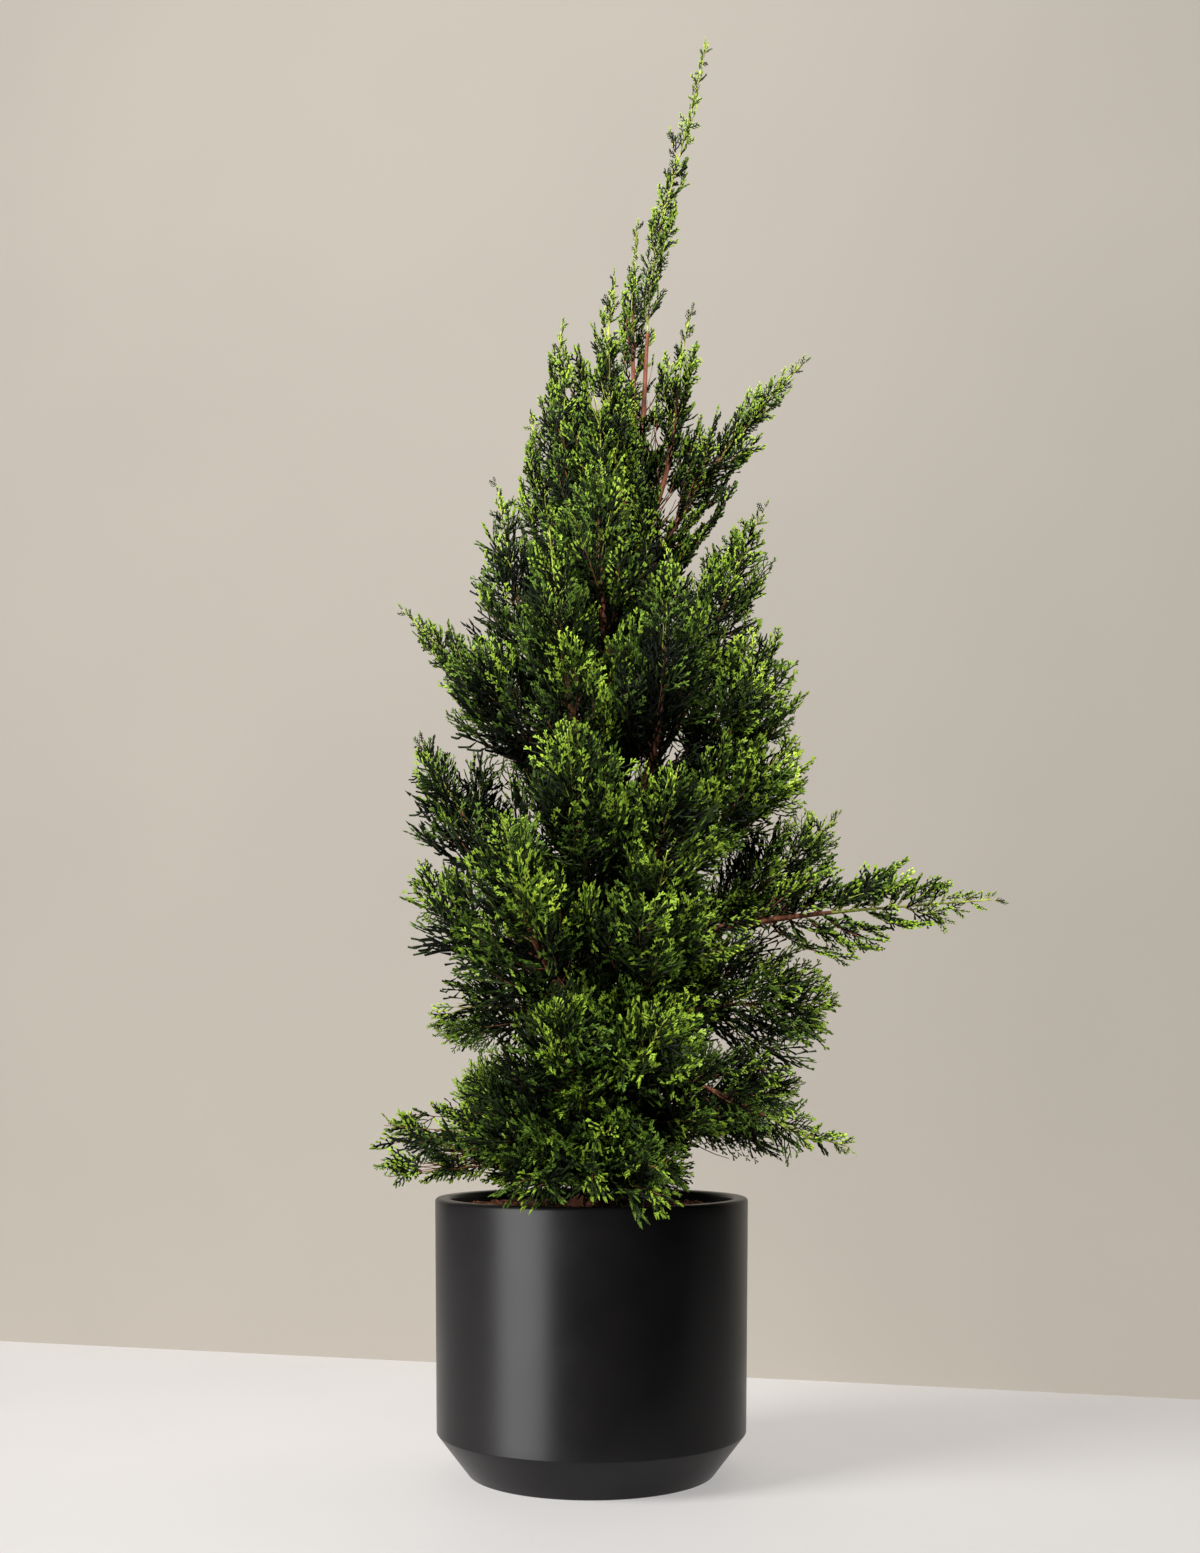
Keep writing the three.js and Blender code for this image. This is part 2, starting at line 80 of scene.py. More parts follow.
camera_data = bpy.data.cameras.new("camera")
camera_data.sensor_width = 36.0
camera_data.lens = camera_data.sensor_width * FOCAL_PIXELS / PICTURE_HEIGHT
camera_data.shift_y = CAMERA_SHIFT
camera = bpy.data.objects.new("camera", camera_data)
camera.location = CAMERA_PLACE
camera.rotation_euler = (radians(90 + CAMERA_CLIMB), 0, 0)
scene.collection.objects.link(camera)
scene.camera = camera

# Planter: fibre-reinforced ceramic, turned in one piece, its wall nearly straight above a foot
# that slopes in. It has a smooth satin black coat, and its rim and edges are a little rounded.
MM = 0.001
POT_HEIGHT = 261 * MM
RIM_RADIUS = 152.5 * MM
SHOULDER_RADIUS = 149 * MM
SHOULDER_HEIGHT = 39.6 * MM
BASE_RADIUS = 118.2 * MM
WALL = 14.5 * MM
POT_FLOOR = 14 * MM
RIM_ROUNDING = 3.4 * MM
SHOULDER_ROUNDING = 2.2 * MM
BASE_ROUNDING = 3 * MM
POT_TURNS = 192
ROUNDING_STEPS = 6
LONGEST_STRETCH = 12 * MM


def new_object(name, mesh):
    obj = bpy.data.objects.new(name, mesh)
    scene.collection.objects.link(obj)
    return obj


def smooth(mesh):
    mesh.polygons.foreach_set("use_smooth", np.ones(len(mesh.polygons), dtype=bool))


def rounded(corner, before, after, radius, steps):
    """Points of a round in place of a profile's corner, from the side before to the side after."""
    corner, before, after = Vector(corner), Vector(before), Vector(after)
    to_before = (before - corner).normalized()
    to_after = (after - corner).normalized()
    half = to_before.angle(to_after) / 2
    centre = corner + (to_before + to_after).normalized() * (radius / sin(half))
    start = corner + to_before * (radius / tan(half)) - centre
    end = corner + to_after * (radius / tan(half)) - centre
    return [tuple(centre + start.slerp(end, step / steps) * radius) for step in range(steps + 1)]


def lathe(name, profile, turns):
    """A closed solid turned about Z from (radius, height) points that start and end on the axis."""
    mesh = bmesh.new()
    rings = []
    for radius, height in profile:
        if radius < 1e-7:
            rings.append([mesh.verts.new((0, 0, height))])
            continue
        angles = [2 * pi * step / turns for step in range(turns)]
        rings.append([mesh.verts.new((radius * cos(a), radius * sin(a), height)) for a in angles])
    for low, high in zip(rings, rings[1:]):
        for step in range(turns):
            after = (step + 1) % turns
            corners = [low[step % len(low)], low[after % len(low)]]
            corners += [high[after % len(high)], high[step % len(high)]]
            mesh.faces.new(list(dict.fromkeys(corners)))
    bmesh.ops.recalc_face_normals(mesh, faces=mesh.faces)
    data = bpy.data.meshes.new(name)
    mesh.to_mesh(data)
    mesh.free()
    smooth(data)
    return new_object(name, data)


def subdivided(points, longest):
    """A profile whose straight stretches are cut so that none is longer than the length given."""
    result = [points[0]]
    for one, two in zip(points, points[1:]):
        cuts = max(1, ceil(dist(one, two) / longest))
        for cut in range(1, cuts + 1):
            result.append(tuple(a + (b - a) * cut / cuts for a, b in zip(one, two)))
    return result


pot_corners = [
    (0, 0),
    (BASE_RADIUS, 0),
    (SHOULDER_RADIUS, SHOULDER_HEIGHT),
    (RIM_RADIUS, POT_HEIGHT),
    (RIM_RADIUS - WALL, POT_HEIGHT),
    (SHOULDER_RADIUS - WALL, SHOULDER_HEIGHT),
    (BASE_RADIUS - WALL, POT_FLOOR),
    (0, POT_FLOOR),
]
pot_roundings = [BASE_ROUNDING, SHOULDER_ROUNDING, RIM_ROUNDING, RIM_ROUNDING, WALL / 2, WALL / 2]
pot_profile = [pot_corners[0]]
for index, rounding in enumerate(pot_roundings):
    before, corner, after = pot_corners[index:index + 3]
    pot_profile += rounded(corner, before, after, rounding, ROUNDING_STEPS)
pot_profile.append(pot_corners[-1])
planter = lathe("planter_body", subdivided(pot_profile, LONGEST_STRETCH), POT_TURNS)


def add_node(tree, kind, values=None, links=None, **settings):
    """A node with its settings, the values of its inputs, and the outputs linked to its inputs."""
    made = tree.nodes.new(kind)
    for key, value in settings.items():
        setattr(made, key, value)
    for key, value in (values or {}).items():
        made.inputs[key].default_value = value
    for key, source in (links or {}).items():
        tree.links.new(source, made.inputs[key])
    return made


def new_material(name, roughness, shine=0.5):
    """A material of an even roughness and shine, its shader, and a function that adds a node to it."""
    material = bpy.data.materials.new(name)
    material.use_nodes = True
    shader = material.node_tree.nodes["Principled BSDF"]
    shader.inputs["Roughness"].default_value = roughness
    shader.inputs["Specular IOR Level"].default_value = shine
    return material, shader, partial(add_node, material.node_tree)


def grain(node, scale, detail, roughness, place=None):
    """The grey of a noise that stays with the piece."""
    if place is None:
        place = node("ShaderNodeTexCoord").outputs["Object"]
    values = {"Scale": scale, "Detail": detail, "Roughness": roughness}
    return node("ShaderNodeTexNoise", values, {"Vector": place}).outputs["Fac"]


def coloured(shader, factor, stops):
    """A base colour that runs through (place, colour) stops as a factor grows."""
    made = add_node(shader.id_data, "ShaderNodeValToRGB", links={"Fac": factor})
    elements = made.color_ramp.elements
    while len(elements) < len(stops):
        elements.new(0.5)
    for element, (place, colour) in zip(elements, stops):
        element.position = place
        element.color = (*colour, 1)
    shader.id_data.links.new(made.outputs["Color"], shader.inputs["Base Color"])


def bumped(shader, height, strength, distance):
    values = {"Strength": strength, "Distance": distance}
    bump = add_node(shader.id_data, "ShaderNodeBump", values, {"Height": height})
    shader.id_data.links.new(bump.outputs["Normal"], shader.inputs["Normal"])


pot_coat, shader, node = new_material("satin_black_coat", 0.5, 0.16)
cloudy = grain(node, 14, 5, 0.6)
coloured(shader, cloudy, [(0.3, (0.0050, 0.0046, 0.0048)), (0.7, (0.0072, 0.0066, 0.0070))])
dull = node("ShaderNodeMapRange", {"From Min": 0.3, "From Max": 0.7, "To Min": 0.30, "To Max": 0.35},
            {"Value": cloudy})
shader.id_data.links.new(dull.outputs["Result"], shader.inputs["Roughness"])
bumped(shader, grain(node, 620, 2, 0.5), 0.03, 0.0001)
planter.data.materials.append(pot_coat)
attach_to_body(planter, "root")
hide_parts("planter")

# Soil: dark potting soil, filled to a finger's breadth under the rim. It has settled unevenly, a
# little lower at the wall, with lumps and crumbs on top.
SOIL_LEVEL = 251 * MM
SEAT_GAP = 0.3 * MM
SOIL_RINGS = 46
SOIL_TURNS = 120
SOIL_LUMPS = 2.6 * MM
SOIL_LUMP_SPACING = 17 * MM
SOIL_SETTLING = 1.2 * MM

soil_wall = WALL + SEAT_GAP
soil_rim = SHOULDER_RADIUS - soil_wall + (RIM_RADIUS - SHOULDER_RADIUS) * (
    (SOIL_LEVEL - SHOULDER_HEIGHT) / (POT_HEIGHT - SHOULDER_HEIGHT))
soil_profile = [
    (0, POT_FLOOR + SEAT_GAP),
    (BASE_RADIUS - soil_wall - WALL / 2, POT_FLOOR + SEAT_GAP),
    (BASE_RADIUS - soil_wall, POT_FLOOR + WALL / 2),
    (SHOULDER_RADIUS - soil_wall, SHOULDER_HEIGHT + WALL / 2),
]
soil_profile += [
    (soil_rim * (1 - ring / SOIL_RINGS), SOIL_LEVEL - 1 * MM) for ring in range(SOIL_RINGS + 1)
]
soil = lathe("soil_fill", soil_profile, SOIL_TURNS)
for vertex in soil.data.vertices:
    if vertex.co.z > SOIL_LEVEL - 2 * MM:
        lumps = noise.fractal(vertex.co / SOIL_LUMP_SPACING, 0.7, 2.1, 4)
        settled = -SOIL_SETTLING * (vertex.co.xy.length / soil_rim) ** 4
        vertex.co.z += SOIL_LUMPS * max(-0.9, min(0.9, lumps)) + settled

soil_finish, shader, node = new_material("potting_soil", 0.95, 0.25)
crumbs = grain(node, 240, 8, 0.7)
coloured(shader, crumbs, [
    (0.32, (0.006, 0.003, 0.002)), (0.55, (0.028, 0.012, 0.007)), (0.75, (0.075, 0.034, 0.020)),
])
bumped(shader, crumbs, 0.9, 0.002)
soil.data.materials.append(soil_finish)
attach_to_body(soil, "root")
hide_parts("soil")

# Bark chips: a mulch of reddish brown bark, split into flat pieces of a finger's breadth. They lie
# loose on the soil, turned every way.
CHIP_LENGTH = 15 * MM
CHIP_KINDS = 6
CHIP_GAP = 4.2 * MM
CHIP_CLEARANCE = 5 * MM
CHIP_SEED = 11
STREW_SEED = 5


def plain_mesh(name, points, faces=(), edges=()):
    mesh = bpy.data.meshes.new(name)
    mesh.from_pydata([tuple(point) for point in points], edges, faces)
    mesh.update()
    return mesh


def chip_mesh(name, random):
    """A split chip of bark: an uneven six-sided slab about a unit long."""
    around = [2 * pi * corner / 6 for corner in range(6)]
    wide = 0.3 + 0.25 * random.random()
    thick = 0.07 + 0.07 * random.random()
    outline = [
        (0.5 * cos(turn) * (0.75 + 0.35 * random.random()),
         wide * sin(turn) * (0.7 + 0.4 * random.random()))
        for turn in around
    ]
    points = [(x, y, -thick) for x, y in outline]
    points += [(x * 0.9, y * 0.85, thick * (0.6 + 0.7 * random.random())) for x, y in outline]
    faces = [tuple(range(5, -1, -1)), tuple(range(6, 12))]
    faces += [(side, (side + 1) % 6, (side + 1) % 6 + 6, side + 6) for side in range(6)]
    return plain_mesh(name, points, faces)


def stock(name, meshes):
    """A collection of patterns for a scatter. It stays outside the scene."""
    patterns = bpy.data.collections.new(name)
    for index, mesh in enumerate(meshes):
        patterns.objects.link(bpy.data.objects.new(f"{name}_{index:02d}", mesh))
    return patterns


def clear_stock(patterns):
    for pattern in list(patterns.objects):
        bpy.data.meshes.remove(pattern.data)
    bpy.data.collections.remove(patterns)


def node_group(name, sockets):
    """A geometry node tree with named inputs, a function that adds a node to it, and its inputs."""
    group = bpy.data.node_groups.new(name, "GeometryNodeTree")
    for label, kind in {"Geometry": "Geometry", **sockets}.items():
        group.interface.new_socket(label, in_out="INPUT", socket_type=f"NodeSocket{kind}")
    group.interface.new_socket("Geometry", in_out="OUTPUT", socket_type="NodeSocketGeometry")
    node = partial(add_node, group)
    return group, node, node("NodeGroupInput").outputs


def times(node, one, other):
    return node("ShaderNodeMath", links={0: one, 1: other}, operation="MULTIPLY").outputs["Value"]


def chance(node, seed, low, high, kind="FLOAT"):
    """A random value for each point."""
    made = node("FunctionNodeRandomValue", {"Min": low, "Max": high}, {"Seed": seed}, data_type=kind)
    return made.outputs["Value"]


def end_tree(node, geometry, finish):
    """The end of every tree, which makes its result plain geometry with one finish."""
    real = node("GeometryNodeRealizeInstances", links={"Geometry": geometry}).outputs["Geometry"]
    finished = node("GeometryNodeSetMaterial", links={"Geometry": real, "Material": finish})
    node("NodeGroupOutput", links={"Geometry": finished.outputs["Geometry"]})


def end_in_patterns(node, given, spots, patterns, kinds, turn, length):
    """The end of a scatter, with one of a stock's patterns, picked at random, on every spot."""
    each_apart = {"Separate Children": True, "Reset Children": True}
    stocked = node("GeometryNodeCollectionInfo", each_apart, {"Collection": patterns})
    placed = node("GeometryNodeInstanceOnPoints", {"Pick Instance": True}, {
        "Points": spots.outputs["Points"],
        "Instance": stocked.outputs["Instances"],
        "Instance Index": chance(node, given["Seed"], 0, kinds - 1, "INT"),
        "Rotation": turn,
        "Scale": length,
    })
    end_tree(node, placed.outputs["Instances"], given["Finish"])


def grown(name, bare, group, values):
    """An object whose plain mesh is what a tree makes of a bare one."""
    obj = new_object(name, bare)
    modifier = obj.modifiers.new(group.name, "NODES")
    modifier.node_group = group
    for item in group.interface.items_tree:
        if item.in_out == "INPUT" and item.name in values:
            modifier[item.identifier] = values[item.name]
    evaluated = obj.evaluated_get(bpy.context.evaluated_depsgraph_get())
    obj.data = bpy.data.meshes.new_from_object(evaluated)
    obj.modifiers.clear()
    bpy.data.meshes.remove(bare)
    obj.data.name = name
    return obj


strew, node, given = node_group("strew_chips", {
    "Chips": "Collection", "Chip Length": "Float", "Gap": "Float", "Seed": "Int", "Finish": "Material"})
spots = node(
    "GeometryNodeDistributePointsOnFaces",
    {"Density Max": 1e5},
    {"Mesh": given["Geometry"], "Distance Min": given["Gap"], "Seed": given["Seed"]},
    distribute_method="POISSON",
)
turn = chance(node, given["Seed"], (-0.5, -0.5, 0), (0.5, 0.5, 2 * pi), "FLOAT_VECTOR")
length = times(node, chance(node, given["Seed"], 0.4, 1.0), given["Chip Length"])
end_in_patterns(node, given, spots, given["Chips"], CHIP_KINDS, turn, length)

chip_finish, shader, node = new_material("split_bark", 0.85, 0.3)
coloured(shader, grain(node, 95, 3, 0.55), [
    (0.30, (0.020, 0.008, 0.005)), (0.48, (0.085, 0.028, 0.013)),
    (0.62, (0.170, 0.062, 0.028)), (0.78, (0.270, 0.130, 0.070)),
])
bumped(shader, grain(node, 900, 4, 0.65), 0.6, 0.0008)

chip_random = np.random.default_rng(CHIP_SEED)
chip_stock = stock("chip", [chip_mesh(f"chip_{kind}", chip_random) for kind in range(CHIP_KINDS)])
bed = bmesh.new()
bed.from_mesh(soil.data)
bare_faces = [
    face for face in bed.faces
    if face.calc_center_median().z < SOIL_LEVEL - CHIP_CLEARANCE
    or face.calc_center_median().xy.length > soil_rim - CHIP_CLEARANCE
]
bmesh.ops.delete(bed, geom=bare_faces, context="FACES")
bed_mesh = bpy.data.meshes.new("bark_chips")
bed.to_mesh(bed_mesh)
bed.free()
chips = grown("bark_chips", bed_mesh, strew, {
    "Chips": chip_stock, "Chip Length": CHIP_LENGTH, "Gap": CHIP_GAP, "Seed": STREW_SEED,
    "Finish": chip_finish})
clear_stock(chip_stock)
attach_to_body(chips, "root")

# Trunk: one tapering stem of living wood that leans to the plant's right as it climbs, under
# thin reddish bark that splits into long shallow strips. It flares into its roots at the soil.
TRUNK_TOP = 1140 * MM
TRUNK_FOOT_RADIUS = 14 * MM
TRUNK_TIP_RADIUS = 1.7 * MM
TRUNK_TAPER_CURVE = 1.1
TRUNK_LEAN = 57 * MM
TRUNK_LEAN_CURVE = 1.15
TRUNK_BOW = 0.12
TRUNK_SWAY = 7 * MM
FLARE = 9 * MM
FLARE_HEIGHT = 24 * MM
FLARE_ROOTS = 5
FLARE_LOBES = 0.45
FLARE_TURN = 0.8
STRIP_RELIEF = 0.085
STRIP_LENGTH = 34 * MM
FLAKE_LENGTH = 11 * MM
FLAKE_FINENESS = 2.6
TRUNK_FINENESS = 2.4
TRUNK_SIDES = 36
TRUNK_RING_GAP = 2.6 * MM


def lerp(start, end, share):
    return start + (end - start) * share


def trunk_share(height):
    return min(1.0, max(0.0, (height - SOIL_LEVEL) / (TRUNK_TOP - SOIL_LEVEL)))


def trunk_centre(height):
    share = trunk_share(height)
    bow = 1 + TRUNK_BOW * sin(pi * share)
    lean = TRUNK_LEAN * share ** TRUNK_LEAN_CURVE * bow
    return np.array([lean, TRUNK_SWAY * sin(pi * share), height])


def trunk_radius(height, turn):
    taper = (1 - trunk_share(height)) ** TRUNK_TAPER_CURVE
    lobes = 1 + FLARE_LOBES * cos(FLARE_ROOTS * turn + FLARE_TURN)
    flare = FLARE * exp((SOIL_LEVEL - height) / FLARE_HEIGHT) * lobes
    return lerp(TRUNK_TIP_RADIUS, TRUNK_FOOT_RADIUS, taper) + flare


def bark_strips(turn, along, fineness):
    """Relief of shallow bark strips, from -1 to 1: narrow round the limb and long up it."""
    strips = noise.noise(Vector((fineness * cos(turn), fineness * sin(turn), along / STRIP_LENGTH)))
    fineness *= FLAKE_FINENESS
    flakes = noise.noise(Vector((fineness * cos(turn), fineness * sin(turn), along / FLAKE_LENGTH)))
    return 0.7 * strips + 0.5 * flakes


def skinned(rings):
    """Faces over rings of equal count, closed with a flat fan at either end."""
    sides = len(rings[0])
    points = [point for ring in rings for point in ring]
    last = (len(rings) - 1) * sides
    faces = []
    for low in range(0, last, sides):
        for side in range(sides):
            after = (side + 1) % sides
            faces.append((low + side, low + after, low + sides + after, low + sides + side))
    return points, [*faces, tuple(range(sides - 1, -1, -1)), tuple(range(last, last + sides))]


def solid(name, points, faces, finish):
    """A piece with smooth faces and one finish."""
    mesh = plain_mesh(name, points, faces)
    smooth(mesh)
    mesh.materials.append(finish)
    return new_object(name, mesh)


trunk_rings = []
ring_count = round((TRUNK_TOP - SOIL_LEVEL) / TRUNK_RING_GAP)
for ring in range(ring_count + 1):
    height = lerp(SOIL_LEVEL + SEAT_GAP, TRUNK_TOP, ring / ring_count)
    centre = trunk_centre(height)
    points = []
    for side in range(TRUNK_SIDES):
        turn = 2 * pi * side / TRUNK_SIDES
        relief = 1 + STRIP_RELIEF * bark_strips(turn, height, TRUNK_FINENESS)
        radius = trunk_radius(height, turn) * relief
        points.append((centre[0] + radius * cos(turn), centre[1] + radius * sin(turn), height))
    trunk_rings.append(points)

bark, shader, node = new_material("reddish_bark", 0.78, 0.35)
place = node("ShaderNodeTexCoord").outputs["Object"]
drawn_out = node("ShaderNodeMapping", {"Scale": (1, 1, 0.16)}, {"Vector": place})
strips = grain(node, 260, 5, 0.6, drawn_out.outputs["Vector"])
greys = {"A": strips, "B": grain(node, 22, 3, 0.5)}
blotched = node("ShaderNodeMix", {"Factor": 0.3}, greys, data_type="FLOAT")
coloured(shader, blotched.outputs["Result"], [
    (0.34, (0.034, 0.012, 0.008)), (0.46, (0.135, 0.043, 0.022)),
    (0.56, (0.255, 0.088, 0.045)), (0.68, (0.360, 0.175, 0.105)),
])
bumped(shader, strips, 0.7, 0.0012)
trunk = solid("trunk_bark", *skinned(trunk_rings), bark)
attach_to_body(trunk, "root")
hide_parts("trunk")

# Plumes: the plan of the crown. Each is a long shoot that leaves the trunk, bends up and is bare
# near the trunk; all below follow their lines. Bearing 0 is the plant's right, 270 its front.
HANDLE = 0.4
SWING = 14
SEED = 2051
STEM_TIP_RADIUS = 0.9 * MM
STEM_GROWTH = 0.0095
STEM_SHARE_OF_TRUNK = 0.85
STEM_TAPER_CURVE = 0.8
FOOT_FULLNESS = 0.75
FULL_FROM = 0.25
BLUNTNESS = 0.9
BLUNTNESS_BY_GIRTH = 6
FULLNESS_CURVE = 0.7
UP = np.array([0.0, 0.0, 1.0])

plumes = []


def plume(
    name, area, foot, tip, climbs, bare, girth, has_bough=False, fresh=0, thinned=0, comb=0
):
    """A plume from its foot's height on the trunk to its tip's bearing, reach and height, in mm and
    degrees. It climbs so steeply at its foot and at its tip, and is bare for a share of its length.
    Its growth is fresher or older than others', and a share of its shoots is lost. The shoots of a
    comb stand so far apart in one plane."""
    bearing, reach, height = tip
    plumes.append(SimpleNamespace(
        name=name, area=area, foot=foot * MM, bearing=bearing, reach=reach * MM, tip=height * MM,
        climbs=climbs, bare=bare, girth=girth * MM, has_bough=has_bough, fresh=fresh, thinned=thinned,
        comb=comb * MM,
    ))


plume("leader", "top", 1140, (355, 120, 1453), (87, 80), 0, 29, fresh=0.06, thinned=0.36)
plume("spire_tall", "top", 1000, (12, 48, 1266), (74, 98), 0.2, 30, thinned=0.25)
plume("spire_gold", "top", 905, (303, 45, 1184), (48, 110), 0.28, 31, fresh=-0.06)
plume("crest_left", "top", 845, (195, 32, 1149), (57, 94), 0.2, 43, fresh=-0.07, thinned=0.2)
plume("crest_right", "top", 915, (350, 103, 1157), (58, 74), 0.2, 41, fresh=-0.06, thinned=0.2)
plume("shoulder_left", "top", 785, (150, 75, 1073), (50, 80), 0.2, 46, fresh=-0.07)
plume("flank_left", "left", 690, (183, 97, 982), (42, 82), 0.22, 66, True, fresh=-0.16, thinned=0.2)
plume("elbow_left", "left", 640, (202, 130, 803), (30, 62), 0.24, 81, fresh=-0.16)
plume("arm_left", "left", 585, (186, 194, 846), (44, 42), 0.46, 37, True, fresh=-0.19, thinned=0.25)
plume("side_left", "left", 505, (178, 176, 721), (30, 62), 0.26, 74, True, fresh=-0.19)
plume("low_left", "left", 465, (195, 172, 584), (12, 70), 0.24, 74, True, fresh=-0.17)
plume("droop_left", "left", 425, (170, 160, 430), (10, -38), 0.2, 64)
plume("hem_left", "left", 318, (160, 128, 380), (12, 48), 0.18, 70, fresh=-0.1, thinned=0.2)
plume("rim_left", "left", 284, (198, 206, 338), (8, 28), 0.42, 44, True, fresh=-0.08, thinned=0.45)
plume("arm_right", "right", 860, (0, 222, 1114), (62, 46), 0.25, 36, True, fresh=-0.06)
plume("flank_right", "right", 650, (8, 182, 967), (45, 62), 0.3, 64, True)
plume("shoulder_right", "right", 590, (355, 187, 823), (40, 68), 0.28, 87, True, fresh=0.06)
plume("side_right", "right", 540, (352, 205, 712), (30, 46), 0.28, 81, True, fresh=0.07)
plume("wing_right", "right", 475, (8, 257, 646), (22, 42), 0.34, 62, True, fresh=0.05)
plume("reach_right", "right", 500, (353, 404, 549), (14, 4), 0.36, 54, True, comb=7)
plume("low_right", "right", 405, (2, 244, 451), (36, 2), 0.28, 90, True, fresh=0.05)
plume("hem_right", "right", 330, (16, 220, 372), (14, 20), 0.24, 70)
plume("rim_right", "right", 385, (352, 257, 309), (4, -12), 0.32, 60, True, thinned=0.35)
plume("front_column", "front", 740, (278, 61, 1041), (40, 88), 0.2, 59, True, fresh=-0.06)
plume("front_fan", "front", 620, (246, 104, 917), (34, 80), 0.2, 67, True)
plume("front_flame", "front", 610, (309, 118, 885), (34, 84), 0.22, 73, True, fresh=-0.12)
plume("breast_left", "front", 520, (260, 130, 707), (26, 80), 0.18, 84, fresh=-0.09)
plume("breast_right", "front", 515, (303, 148, 665), (26, 66), 0.18, 84)
plume("belly_left", "front", 430, (240, 156, 619), (22, 84), 0.18, 87)
plume("belly_right", "front", 425, (297, 158, 590), (20, 52), 0.18, 87)
plume("skirt_left", "front", 350, (257, 146, 440), (12, 50), 0.14, 87, fresh=-0.06)
plume("skirt_right", "front", 355, (295, 160, 430), (12, 40), 0.14, 87, fresh=-0.03)
plume("rim_front", "front", 300, (277, 151, 330), (14, 8), 0.12, 78, fresh=-0.04)

BACK_PLUMES = 8
BACK_FEET = (305, 820)
BACK_RISES = (70, 300)
BACK_RISE_CURVE = 0.7
BACK_REACHES = (168, 52)
BACK_SPREADS = (50, 22)
BACK_SCATTER = 10
BACK_LEAVES = (10, 46)
BACK_ARRIVES = (40, 86)
BACK_BARE = 0.18
BACK_GIRTHS = (86, 50)


def seeded(seed):
    """Evenly spread numbers from 0 to 1, in the same order as the solids use."""
    state = seed
    while True:
        state = (state * 1664525 + 1013904223) % 4294967296
        yield state / 4294967296


back_random = seeded(SEED)
for index in range(BACK_PLUMES):
    rank = index / (BACK_PLUMES - 1)
    hand = 1 if index % 2 == 0 else -1
    bearing = 90 + hand * lerp(*BACK_SPREADS, rank) + BACK_SCATTER * (next(back_random) - 0.5)
    foot = lerp(*BACK_FEET, rank)
    plume(
        f"back_{index + 1}", "back", foot,
        (bearing, lerp(*BACK_REACHES, rank), foot + lerp(*BACK_RISES, rank ** BACK_RISE_CURVE)),
        (lerp(*BACK_LEAVES, rank), lerp(*BACK_ARRIVES, rank)),
        BACK_BARE, lerp(*BACK_GIRTHS, rank),
    )


def unit(vector):
    return vector / np.linalg.norm(vector)


def heading(bearing, climb):
    """A direction from its bearing round the trunk and its climb above level, in degrees."""
    turn, rise = radians(bearing), radians(climb)
    return np.array([cos(rise) * cos(turn), cos(rise) * sin(turn), sin(rise)])


def cross_axes(along, nearest):
    first = unit(nearest - along * nearest.dot(along))
    return first, np.cross(along, first)


def point_on(each, share):
    a, b, c, d = each.line
    rest = 1 - share
    return rest ** 3 * a + 3 * rest ** 2 * share * b + 3 * rest * share ** 2 * c + share ** 3 * d


def way_on(each, share):
    a, b, c, d = each.line
    rest = 1 - share
    return unit(rest ** 2 * (b - a) + 2 * rest * share * (c - b) + share ** 2 * (d - c))


swing_random = seeded(SEED + 1)
for each in plumes:
    swing = SWING * (next(swing_random) - 0.5)
    start = trunk_centre(each.foot)
    end = heading(each.bearing, 0) * each.reach
    end[2] = each.tip
    span = end - start
    course = degrees(atan2(span[1], span[0]))
    handle = HANDLE * np.linalg.norm(span)
    leave, arrive = each.climbs
    each.line = (
        start,
        start + heading(course + swing, leave) * handle,
        end - heading(course - swing, arrive) * handle,
        end,
    )
    steps = np.array([point_on(each, share) for share in np.linspace(0, 1, 201)])
    each.length = float(np.linalg.norm(np.diff(steps, axis=0), axis=1).sum())
    each.across = heading(each.bearing + 90, 0)
    each.leafy = each.length * (1 - each.bare)


def stem_radius(each, share):
    room = STEM_SHARE_OF_TRUNK * trunk_radius(each.foot, 0) - STEM_TIP_RADIUS
    growth = min(STEM_GROWTH * each.length, room)
    return STEM_TIP_RADIUS + growth * (1 - share) ** STEM_TAPER_CURVE


def fullness(each, share):
    bluntness = BLUNTNESS + BLUNTNESS_BY_GIRTH * each.girth / each.leafy
    rise = lerp(FOOT_FULLNESS, 1, min(1, share / FULL_FROM))
    return rise * (1 - share ** bluntness) ** FULLNESS_CURVE


# Boughs and stems: the wood of every plume from the trunk's flank to its tip, one tapering limb
# each, under the trunk's bark. Young stems are still green.
BOUGH_SIDES = 10
BOUGH_RING_GAP = 5 * MM
BOUGH_RELIEF = 0.12
BOUGH_FINENESS = 1.6
STEM_START = 0.01
STEM_END = 0.97
GREEN_FROM = 0.72
GREEN_SLIMNESS = 0.55
GREEN_STEMS = {"leader": 0.0, "spire_gold": 0.2, "reach_right": 0.58, "rim_left": 0.8}

woody, green = ([], []), ([], [])


